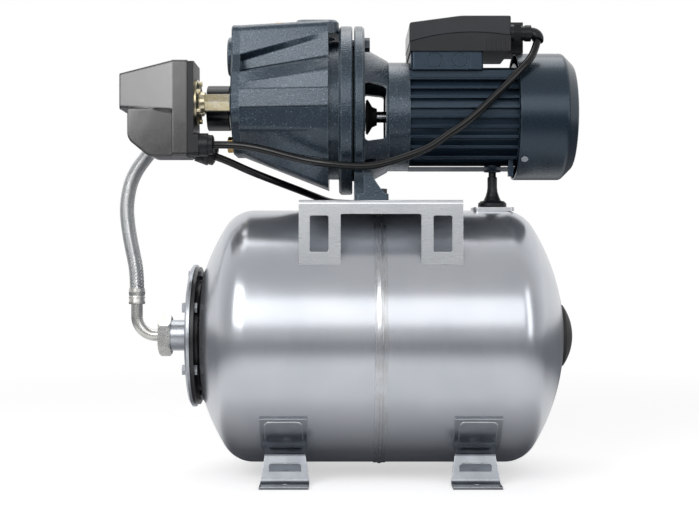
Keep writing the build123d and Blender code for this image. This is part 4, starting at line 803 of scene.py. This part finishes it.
@dataclass
class Tank(SubAssembly):
    """Horizontal pressure tank on four feet.

    Fields:
        radius: outer radius of the shell.
        wall: sheet thickness.
        straight: half length of the straight part.
        knuckle: radius where the straight part turns into the crown.
        crown: radius of the crown.
        hole_left: radius of the neck's hole.
        hole_right: radius of the air valve's hole.
        centre_z: height of the axis.
        segments: steps round the shell.
        seam_half: half width of the lapped joint.
        seam_high: its height over the shell.
        seam_sunk: how far its foot lies in the shell.
        seam_segments: steps round the joint.
        bead_half: half width of the weld on it.
        ripple_long: length of one ripple of the weld.
        ripple_deep: depth of a ripple.
    """

    radius: float = 135.0
    wall: float = 1.5
    straight: float = 133.5
    knuckle: float = 35.0
    crown: float = 222.0
    hole_left: float = 70.5
    hole_right: float = 6.05
    centre_z: float = 148.0
    segments: int = 256
    seam_half: float = 6.5
    seam_high: float = 0.8
    seam_sunk: float = 0.2
    seam_segments: int = 720
    bead_half: float = 2.4
    ripple_long: float = 2.4
    ripple_deep: float = 0.12
    nodes = {
        "tank_shell_left": POLISHED_SHELL, "tank_shell_right": POLISHED_SHELL,
        "tank_neck": NECK_ENAMEL, "cover_plate": ZINC, "flange_fasteners": ZINC,
        "bladder": RUBBER, "air_valve": BRASS, "valve_cap": RUBBER,
        "foot_front_left": STAMPED_FOOT, "foot_front_right": STAMPED_FOOT,
        "foot_rear_left": STAMPED_FOOT, "foot_rear_right": STAMPED_FOOT, "platform": PRESSED_SHEET,
    }

    def crown_x(self) -> float:
        """Place of the crown's centre, where crown and knuckle share a tangent."""
        reach, drop = self.crown - self.knuckle, self.radius - self.knuckle
        return self.straight - float(np.sqrt(reach ** 2 - drop ** 2))

    def half_profile(self, hole: float) -> np.ndarray:
        """Closed outline of one half: outside from the seam to the hole, then back inside.

        Args:
            hole: radius of the hole in the crown.

        Returns:
            Rows of x and r, x from the middle outwards.
        """
        turn = float(np.degrees(np.arccos((self.radius - self.knuckle) / (self.crown - self.knuckle))))
        steps, knuckle_steps, crown_steps = 24, 20, 40
        sides = []
        for inset in (0.0, self.wall):
            edge = float(np.degrees(np.arcsin(hole / (self.crown - inset))))
            straight = np.stack([np.linspace(0, self.straight, steps, endpoint=False),
                                 np.full(steps, self.radius - inset)], -1)
            bend = arc_points(self.straight, self.radius - self.knuckle, self.knuckle - inset, 90, 90 - turn,
                              knuckle_steps)
            cap = arc_points(self.crown_x(), 0, self.crown - inset, 90 - turn, edge, crown_steps)[1:]
            sides.append(np.concatenate([straight, bend, cap]))
        return np.concatenate([sides[0], sides[1][::-1]])

    def shell(self, name: str, side: int, hole: float) -> bpy.types.Object:
        """One drawn half, in place of its CAD node.

        Args:
            name: name of the piece.
            side: 1 for the right half, -1 for the left.
            hole: radius of the hole in its crown.

        Returns:
            The shell.
        """
        profile = self.half_profile(hole)
        if side < 0:
            profile = (profile * (-1, 1))[::-1]
        points, faces = lathe_x(profile, self.segments, self.centre_z)
        piece = mesh_piece(name, points, faces, "frame", "stainless")
        dress(piece, POLISHED_SHELL)
        return piece

    def seam(self) -> bpy.types.Object:
        """Lapped joint with its weld, turned from one profile that is the same on both sides of the middle.

        The profile's rise goes from 0 at the joint's edge to 1 on its flat and 2 on top of the weld. Round
        the shell, a ripple takes off its depth times the size of the sine of pi times the travel over its
        length. It lags by 0.9 radian for each millimetre off the middle, so that the ripples are arrowheads.

        Returns:
            The joint.
        """
        half, bead = self.seam_half, self.bead_half
        right = np.array([(0.0, 2.0), (bead / 3, 1.85), (bead * 2 / 3, 1.5), (bead, 1.0), (half - 1.5, 1.0),
                          (half - 0.2, 1.0), (half, 0.0)])
        low = self.radius - self.seam_sunk
        rise = self.seam_high + self.seam_sunk
        top = np.concatenate([right[:0:-1] * (-1, 1), right]) * (1, rise) + (0, low)
        foot = low - 0.3
        profile = np.concatenate([top, [[half, foot], [-half, foot]]])
        off, height = profile[:, 0:1], profile[:, 1:2]
        travel = self.radius * np.linspace(0, 2 * np.pi, self.seam_segments, endpoint=False)
        share = np.clip(1 - np.abs(off) / bead, 0, 1) * (height > low)
        ripple = np.abs(np.sin(np.pi * travel / self.ripple_long + np.abs(off) * 0.9))
        swell = -self.ripple_deep * share * ripple
        points, faces = lathe_x(profile, self.seam_segments, self.centre_z, swell)
        piece = mesh_piece("tank_seam", points, faces, "frame", "stainless", 60.0)
        dress(piece, WELD_ZONE)
        return piece

    def extras(self) -> list[bpy.types.Object]:
        """Builds the two halves and their welded joint.

        Returns:
            The three pieces.
        """
        left = self.shell("tank_half_left", -1, self.hole_left)
        right = self.shell("tank_half_right", 1, self.hole_right)
        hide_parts("tank_shell_left")
        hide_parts("tank_shell_right")
        return [left, right, self.seam()]


class Pump(SubAssembly):
    """Cast pump body with its hydraulics, and the lantern bracket behind it."""

    nodes = {
        "pump_casing": CAST_PAINT, "lantern_bracket": CAST_PAINT, "casing_gasket": FIBRE,
        "m8_bolts": BLACK_STEEL,
        "priming_plug": BRASS, "drain_plug": BRASS, "impeller": BRASS, "impeller_nut": BRASS,
        "diffuser": MATT_BLACK, "ejector": MATT_BLACK, "seal_seat": PORCELAIN, "seal_head": RUBBER,
        "slinger": RUBBER, "shaft": GROUND_STEEL,
    }


class Motor(SubAssembly):
    """Finned motor with its fan cover, stand and terminal box."""

    nodes = {
        "stator_housing": MOTOR_PAINT, "rear_end_shield": MOTOR_PAINT, "fan_cover": COVER_PAINT,
        "rear_stand": MATT_BLACK, "stator_core": LAMINATIONS, "rotor_core": LAMINATIONS,
        "bearings": GROUND_STEEL, "fan": MATT_BLACK, "cover_screws": ZINC,
        "terminal_box_base": MOTOR_PAINT, "terminal_box_tray": MATT_BLACK, "terminal_box_lid": GLOSS_BLACK,
        "terminal_block": PORCELAIN, "capacitor": ALUMINIUM, "box_gland": MATT_BLACK,
    }


class Controls(SubAssembly):
    """Pressure switch and gauge on the front of the pump."""

    nodes = {
        "switch_cover": SWITCH_GREY, "switch_base": MATT_BLACK, "diaphragm_housing": YELLOW_ZINC,
        "switch_nipple": YELLOW_ZINC, "switch_lever": ZINC, "switch_works": BRASS,
        "gauge_case": GLOSS_BLACK, "gauge_dial": DIAL, "gauge_needle": MATT_BLACK, "gauge_lens": LENS,
    }


@dataclass
class HoseLine(SubAssembly):
    """Braided hose from the tank to the pump, with its fittings.

    Fields:
        radius: radius of the braid's middle.
        weave: how far a ribbon rises and dips at a crossing.
        bow: how much higher a ribbon's middle lies than its sides.
        ribbons: ribbons that turn one way. As many turn the other.
        pitch: length of one turn of a ribbon.
        cover: share of the hose's girth that the ribbons of one way cover.
        under: gap between the lowest dips and the liner.
        length: length of the hose between its ferrules, in metres.
        route: control points of its line.
    """

    radius: float = 7.35
    weave: float = 0.34
    bow: float = 0.12
    ribbons: int = 12
    pitch: float = 42.0
    cover: float = 0.9
    under: float = 0.15
    length: float = 0.262
    route: tuple[Point, ...] = (
        (-261.3, 0, 199), (-261.3, 0, 217), (-266.5, 2, 240), (-271.5, 5, 264), (-274.4, 9.5, 288),
        (-271.5, 17, 313), (-264.5, 23.5, 330), (-255, 30, 344), (-243.5, 37.2, 360.9), (-232.9, 44, 378.1),
        (-224.1, 47.6, 386.9), (-213.5, 50.5, 393.9), (-201.6, 52.5, 398.7), (-188.9, 53.5, 401.2),
        (-175.9, 53.5, 401.2))
    nodes = {"union_nut": NICKEL, "hose_elbow": NICKEL, "hose_top_fitting": NICKEL}

    def frames(self, line: np.ndarray) -> tuple[np.ndarray, np.ndarray]:
        """Two directions square to a line, from the Y axis, which the hose never runs along.

        Args:
            line: rows of X, Y, Z along the hose.

        Returns:
            The Y axis less its part along the line, at length 1, and its cross product with the line.
        """
        along = np.gradient(line, axis=0)
        along /= np.linalg.norm(along, axis=1, keepdims=True)
        side = np.array([0.0, 1.0, 0.0]) - along * along[:, 1:2]
        side /= np.linalg.norm(side, axis=1, keepdims=True)
        return side, np.cross(along, side)

    def ribbons_one_way(self, line: np.ndarray, way: int) -> tuple[np.ndarray, np.ndarray, np.ndarray]:
        """The ribbons that turn one way, two over and two under those of the other.

        A point of ribbon k at travel t lies at the angle way w t + 2 pi k / n + u, where w is 2 pi over the
        pitch and u runs across the ribbon. Its radius is the braid's, plus the weave times a cosine of its
        place between the ribbons that cross it, with a period of four crossings and its tops cut flat, plus
        the bow.

        Args:
            line: rows of X, Y, Z along the hose in metres, evenly spaced.
            way: 1 or -1.

        Returns:
            Points, faces, and U and V for each point.
        """
        side, over = (direction[None, :, None, :] for direction in self.frames(line))
        n, rows, across = self.ribbons, len(line), np.linspace(-0.5, 0.5, 4)
        t = np.linspace(0, self.length / MM, rows)[None, :, None]
        k = np.arange(n)[:, None, None]
        turned = way * 2 * np.pi / self.pitch * t
        angle = turned + 2 * np.pi / n * (k + self.cover * across)
        phase = way * (n * (angle + turned) / (2 * np.pi) - k) + 2 * k
        rise = np.clip(1.5 * np.cos(np.pi / 2 * (phase - 0.5)), -1, 1) * way
        r = (self.radius + self.weave * rise + self.bow * (1 - (2 * across) ** 2)) * MM
        points = line[None, :, None, :] + (r * np.cos(angle))[..., None] * side
        points += (r * np.sin(angle))[..., None] * over
        faces = grid_faces(rows, len(across)) + k * rows * len(across)
        u = np.broadcast_to(across + (0.5 if way > 0 else 1.5), angle.shape)
        v = np.broadcast_to(t / 10, angle.shape)
        return points.reshape(-1, 3), faces.reshape(-1, 4), np.stack([u, v], -1).reshape(-1, 2)

    def liner(self, line: np.ndarray, count: int = 24) -> tuple[np.ndarray, np.ndarray]:
        """Dark inner hose under the braid: a circle round each point of the line, inside the weave's dips.

        Args:
            line: rows of X, Y, Z along the hose in metres.
            count: points round the tube.

        Returns:
            Points and faces.
        """
        side, over = self.frames(line)
        a = np.linspace(0, 2 * np.pi, count, endpoint=False)[None, :, None]
        r = (self.radius - self.weave - self.under) * MM
        points = line[:, None, :] + r * (np.cos(a) * side[:, None, :] + np.sin(a) * over[:, None, :])
        return points.reshape(-1, 3), grid_faces(len(line), count, False, True)

    def extras(self) -> list[bpy.types.Object]:
        """Builds the braid and the liner under it, in place of the plain hose.

        Returns:
            Both pieces.
        """
        line = line_of(nurbs_curve("hose_line", np.array(self.route), 0))
        fine, coarse = evenly(line, 600), evenly(line, 80)
        out, back = self.ribbons_one_way(fine, 1), self.ribbons_one_way(fine, -1)
        points = np.concatenate([out[0], back[0]])
        faces = np.concatenate([out[1], back[1] + len(out[0])])
        braid = mesh_piece("hose_braid", points, faces, "frame", "stainless", 180.0)
        layer = braid.data.uv_layers.new(name="ribbon")
        layer.data.foreach_set("uv", np.concatenate([out[2], back[2]])[faces.ravel()].ravel())
        dress(braid, BRAID)
        inner = mesh_piece("hose_liner", *self.liner(coarse), "frame", "rubber")
        dress(inner, RUBBER)
        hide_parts("hose")
        return [braid, inner]


def cable_piece(name: str, route_mm: np.ndarray, radius_mm: float) -> bpy.types.Object:
    """Makes a round PVC cable that rides on the frame.

    Args:
        name: name of the piece.
        route_mm: rows of X, Y, Z of its control points in millimetres.
        radius_mm: its radius.

    Returns:
        The cable.
    """
    cable = nurbs_curve(name, route_mm, radius_mm)
    dress(cable, CABLE_SKIN)
    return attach(cable, "frame")


@dataclass
class MotorLead(SubAssembly):
    """Cable from the switch to the terminal box.

    Fields:
        radius: radius of the cable.
        length: its length in metres; not used.
        route: control points of its line.
    """

    radius: float = 4.0
    length: float = 0.401
    route: tuple[Point, ...] = (
        (-171.7, -60.5, 349), (-161, -60.5, 349), (-148.4, -62, 348.6), (-132.9, -64, 346.6),
        (-115.4, -67, 342.6), (-96.8, -70, 337.2), (-76, -73, 331.8), (-54, -78, 328.2), (-32, -80, 325.8),
        (-10, -80, 325.6), (9, -79, 330), (30, -75.5, 337), (50.9, -71, 345.3), (67, -68, 357),
        (84, -68, 368), (100, -68, 380.8), (115, -67.5, 395.5), (129, -66.5, 409), (141.5, -64, 422.5),
        (153.5, -57.5, 435), (161.9, -47.6, 447.2), (166, -41.6, 460.3))

    def extras(self) -> list[bpy.types.Object]:
        """Builds the cable as one smooth curve.

        Returns:
            The cable alone.
        """
        cable = cable_piece("motor_cable", np.array(self.route), self.radius)
        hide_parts("motor_lead")
        return [cable]


@dataclass
class MainsLead(SubAssembly):
    """Mains cable from the switch over the platform, down behind the tank to its coil and plug.

    Fields:
        radius: radius of the cable.
        length: its whole length in metres; not used.
        coil_x, coil_y: middle of the coil.
        turns: turns of the coil.
        inner, outer: radii of the two rows of turns.
        low, high: heights of the two layers.
        steps: control points in a turn.
        route: control points up to the coil.
        tail: control points from the coil to the plug.
    """

    radius: float = 4.0
    length: float = 1.50
    coil_x: float = 5.0
    coil_y: float = 137.0
    turns: int = 3
    inner: float = 40.0
    outer: float = 48.0
    low: float = 4.3
    high: float = 12.3
    steps: int = 20
    route: tuple[Point, ...] = (
        (-172.91, -26.5, 339.16), (-163.5, -26.5, 335.74), (-152.5, -24.5, 330.9), (-139.5, -20.5, 325),
        (-122, -12, 318.3), (-103.4, 1, 311.6), (-84.7, 17, 305.1), (-67.9, 36, 299.1), (-52, 56, 294.05),
        (-38, 75, 294.05), (-26, 95, 294.1), (-18, 114, 294.2), (-13, 132, 286.5), (-11, 145.5, 272.3),
        (-11.5, 152.6, 253.8), (-17, 155, 232.6), (-25, 156, 211), (-36, 157, 188), (-48, 158, 165),
        (-60, 160, 142), (-71, 163, 118), (-79, 167, 93), (-82, 171, 68), (-76, 176, 44), (-62, 180, 24),
        (-43, 183.5, 10.5), (-21, 185.2, 4.5))
    tail: tuple[Point, ...] = ((22, 185.3, 14.2), (40, 183.3, 17.2), (56, 178, 19.3), (69, 172, 19.3))
    nodes = {"mains_plug": PLUG_RUBBER}

    def coil(self) -> np.ndarray:
        """Control points of the turns, clockwise from the rear.

        With p turns done, the radius goes from outer to inner while p goes from 0.82 to 1, and back between
        2 and 2.62, and the height from low to high between 1.62 and 1.85. So the first turn lies outside the
        second, and the third lies on both. Each point stands outside its turn by one over the cosine of half
        a step, which the spline takes off again.

        Returns:
            Rows of X, Y, Z in millimetres.
        """
        p = np.arange(1, self.turns * self.steps) / self.steps
        spans = ((0.82, 1.0), (2.0, 2.62), (1.62, 1.85))
        shares = [np.clip((p - start) / (end - start), 0, 1) for start, end in spans]
        inwards, outwards, up = (share ** 2 * (3 - 2 * share) for share in shares)
        radius = self.outer + (self.inner - self.outer) * (inwards - outwards)
        radius = radius / np.cos(np.pi / self.steps)
        angle = np.pi / 2 - 2 * np.pi * p
        x = self.coil_x + radius * np.cos(angle)
        y = self.coil_y + radius * np.sin(angle)
        return np.stack([x, y, self.low + (self.high - self.low) * up], -1)

    def extras(self) -> list[bpy.types.Object]:
        """Builds the whole cable as one smooth curve.

        Returns:
            The cable alone.
        """
        route = np.concatenate([np.array(self.route), self.coil(), np.array(self.tail)])
        cable = cable_piece("mains_cable", route, self.radius)
        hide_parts("mains_lead", "mains_coil")
        return [cable]


@dataclass
class Studio:
    """Pale floor, soft lamps and the camera at the photograph's place.

    Fields:
        camera_place: place of the camera in metres.
        focal_px: focal length in pixels of the photograph.
        width_px: width of the photograph.
        floor_half: half the floor's width in metres.
        floor_z: height of the floor, a little lower than the feet.
        tank_half: half length of the tank's straight part in metres.
    """

    camera_place: Point = (-0.0314, -1.4, 0.236)
    focal_px: float = 1294.0
    width_px: float = 699.0
    floor_half: float = 9.0
    floor_z: float = -0.0004
    tank_half: float = 0.13

    def camera(self) -> None:
        """Sets up the level camera that looks along +Y."""
        data = bpy.data.cameras.new("camera")
        data.sensor_width = 36.0
        data.lens = self.focal_px / self.width_px * data.sensor_width
        eye = bpy.data.objects.new("camera", data)
        eye.location = self.camera_place
        eye.rotation_euler = (radians(90), 0, 0)
        bpy.context.scene.collection.objects.link(eye)
        bpy.context.scene.camera = eye

    def lamp(self, name: str, place: Point, aim: Point, size: tuple[float, float], radiance: float) -> None:
        """Adds one rectangular softbox.

        Args:
            name: name of the lamp.
            place: its middle.
            aim: the point that it faces.
            size: width and height in metres.
            radiance: brightness of its face, where 1 shows as white.
        """
        data = bpy.data.lights.new(name, "AREA")
        data.shape = "RECTANGLE"
        data.size, data.size_y = size
        data.energy = radiance * np.pi * size[0] * size[1]
        lamp = bpy.data.objects.new(name, data)
        lamp.location = place
        lamp.rotation_euler = (Vector(aim) - Vector(place)).to_track_quat("-Z", "Y").to_euler()
        bpy.context.scene.collection.objects.link(lamp)

    def paper(self) -> bpy.types.Material:
        """Makes the floor's material: the eye and the reflections see it bright, and it keeps the shadow.

        Seen by the eye it is glowing white paper, which turns into plain white between 0.5 and 1.3 m from
        the middle. In reflections it is white paper too, with a painted shadow under the tank, from 0.2 m
        off the line under its straight part inwards, and painted shade that greys it from 0.45 m outwards.
        For stray light it is grey card, so that it throws little up.

        Returns:
            The Blender material.
        """
        material, tree = blank("white paper floor")
        path = add(tree, "LightPath").outputs
        place = add(tree, "TexCoord").outputs["Object"]
        away = add(tree, "VectorMath", {0: place}, operation="LENGTH").outputs["Value"]
        folded = add(tree, "VectorMath", {0: place}, operation="ABSOLUTE")
        past_end = add(tree, "VectorMath", {0: folded, 1: (self.tank_half, 0, 0)}, operation="SUBTRACT")
        off_line = add(tree, "VectorMath", {0: past_end, 1: (0, 0, 0)}, operation="MAXIMUM")
        off = add(tree, "VectorMath", {0: off_line}, operation="LENGTH").outputs["Value"]

        lit = add(tree, "AddShader", {0: add(tree, "BsdfDiffuse", {"Color": linear("f0f0f0")}),
                                      1: add(tree, "Emission", {"Color": linear(WHITE), "Strength": 0.55})})
        faded = add(tree, "MixShader", {0: add(tree, "MapRange", {VALUE: away, LOW: 0.5, HIGH: 1.3}), 1: lit,
                                        2: add(tree, "Emission", {"Color": linear(WHITE), "Strength": 1.0})})
        # Painted shade on the floor in reflections: greyer from 0.45 m out, and a painted shadow under the
        # tank.
        outwards = add(tree, "MapRange", {VALUE: away, LOW: 0.45, HIGH: 0.85})
        under = add(tree, "MapRange", {VALUE: off, LOW: 0.05, HIGH: 0.2, START: 1.0, END: 0.0})
        painted_floor_shade = layered(tree, "f0f0f0", (outwards, "6c6f75"), (under, "505257"))
        mirrored = add(tree, "AddShader", {0: add(tree, "BsdfDiffuse", {"Color": painted_floor_shade}),
                                           1: add(tree, "Emission", {"Color": painted_floor_shade, "Strength": 0.48})})
        seen = add(tree, "BsdfDiffuse", {"Color": linear("9a9a9a")})
        looks = {"Is Glossy Ray": mirrored, "Is Transmission Ray": lit, "Is Camera Ray": faded}
        for ray, look in looks.items():
            seen = add(tree, "MixShader", {0: path[ray], 1: seen, 2: look})
        add(tree, "OutputMaterial", {"Surface": seen})
        return material

    def floor(self) -> None:
        """Lays the floor, a square sheet of paper that spreads past the view."""
        corners = np.array([(-1, -1, 0), (1, -1, 0), (1, 1, 0), (-1, 1, 0)]) * self.floor_half
        mesh = bpy.data.meshes.new("floor")
        mesh.from_pydata(corners + (0, 0, self.floor_z), [], [(0, 1, 2, 3)])
        floor = bpy.data.objects.new("floor", mesh)
        bpy.context.scene.collection.objects.link(floor)
        floor.data.materials.append(self.paper())

    def world(self) -> None:
        """Sets up the world: white for the eye, dim for stray light, in reflections grey in front."""
        world = bpy.data.worlds.new("studio")
        bpy.context.scene.world = world
        world.use_nodes = True
        tree = world.node_tree
        tree.nodes.clear()
        path = add(tree, "LightPath").outputs
        toward = add(tree, "SeparateXYZ", {0: add(tree, "TexCoord").outputs["Generated"]}).outputs["Y"]
        back = add(tree, "MapRange", {VALUE: toward, LOW: -0.25, HIGH: 0.5, START: 0.56, END: 1.0})
        seen = add(tree, "Background", {"Color": linear(WHITE), "Strength": 0.22})
        for ray, strength in (("Is Glossy Ray", back), ("Is Camera Ray", 1.0)):
            white = add(tree, "Background", {"Color": linear(WHITE), "Strength": strength})
            seen = add(tree, "MixShader", {0: path[ray], 1: seen, 2: white})
        add(tree, "OutputWorld", {"Surface": seen})

    def make(self) -> None:
        """Builds camera, floor, world and lamps."""
        self.camera()
        self.floor()
        self.world()
        self.lamp("front softbox", (0.1, -2.0, 1.05), (0.0, 0.0, 0.3), (2.6, 0.95), 1.4)
        self.lamp("left softbox", (-0.8, -1.2, 0.88), (-0.15, 0.0, 0.35), (0.8, 0.9), 3.4)
        self.lamp("right softbox", (1.15, -0.95, 0.65), (0.2, 0.0, 0.35), (0.35, 0.9), 2.2)
        self.lamp("top softbox", (-0.1, 0.5, 1.9), (0.0, 0.0, 0.3), (1.6, 1.0), 1.6)
        bpy.context.scene.view_settings.view_transform = "Standard"
        LOG.info("studio ready")


def main() -> None:
    """Builds the studio, then every sub-assembly in order."""
    logging.basicConfig(level=logging.INFO, format="%(name)s: %(message)s")
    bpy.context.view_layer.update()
    Studio().make()
    for group in (HoseLine(), MotorLead(), MainsLead(), Tank(), Pump(), Motor(), Controls()):
        group.make()


if __name__ == "__main__":
    main()
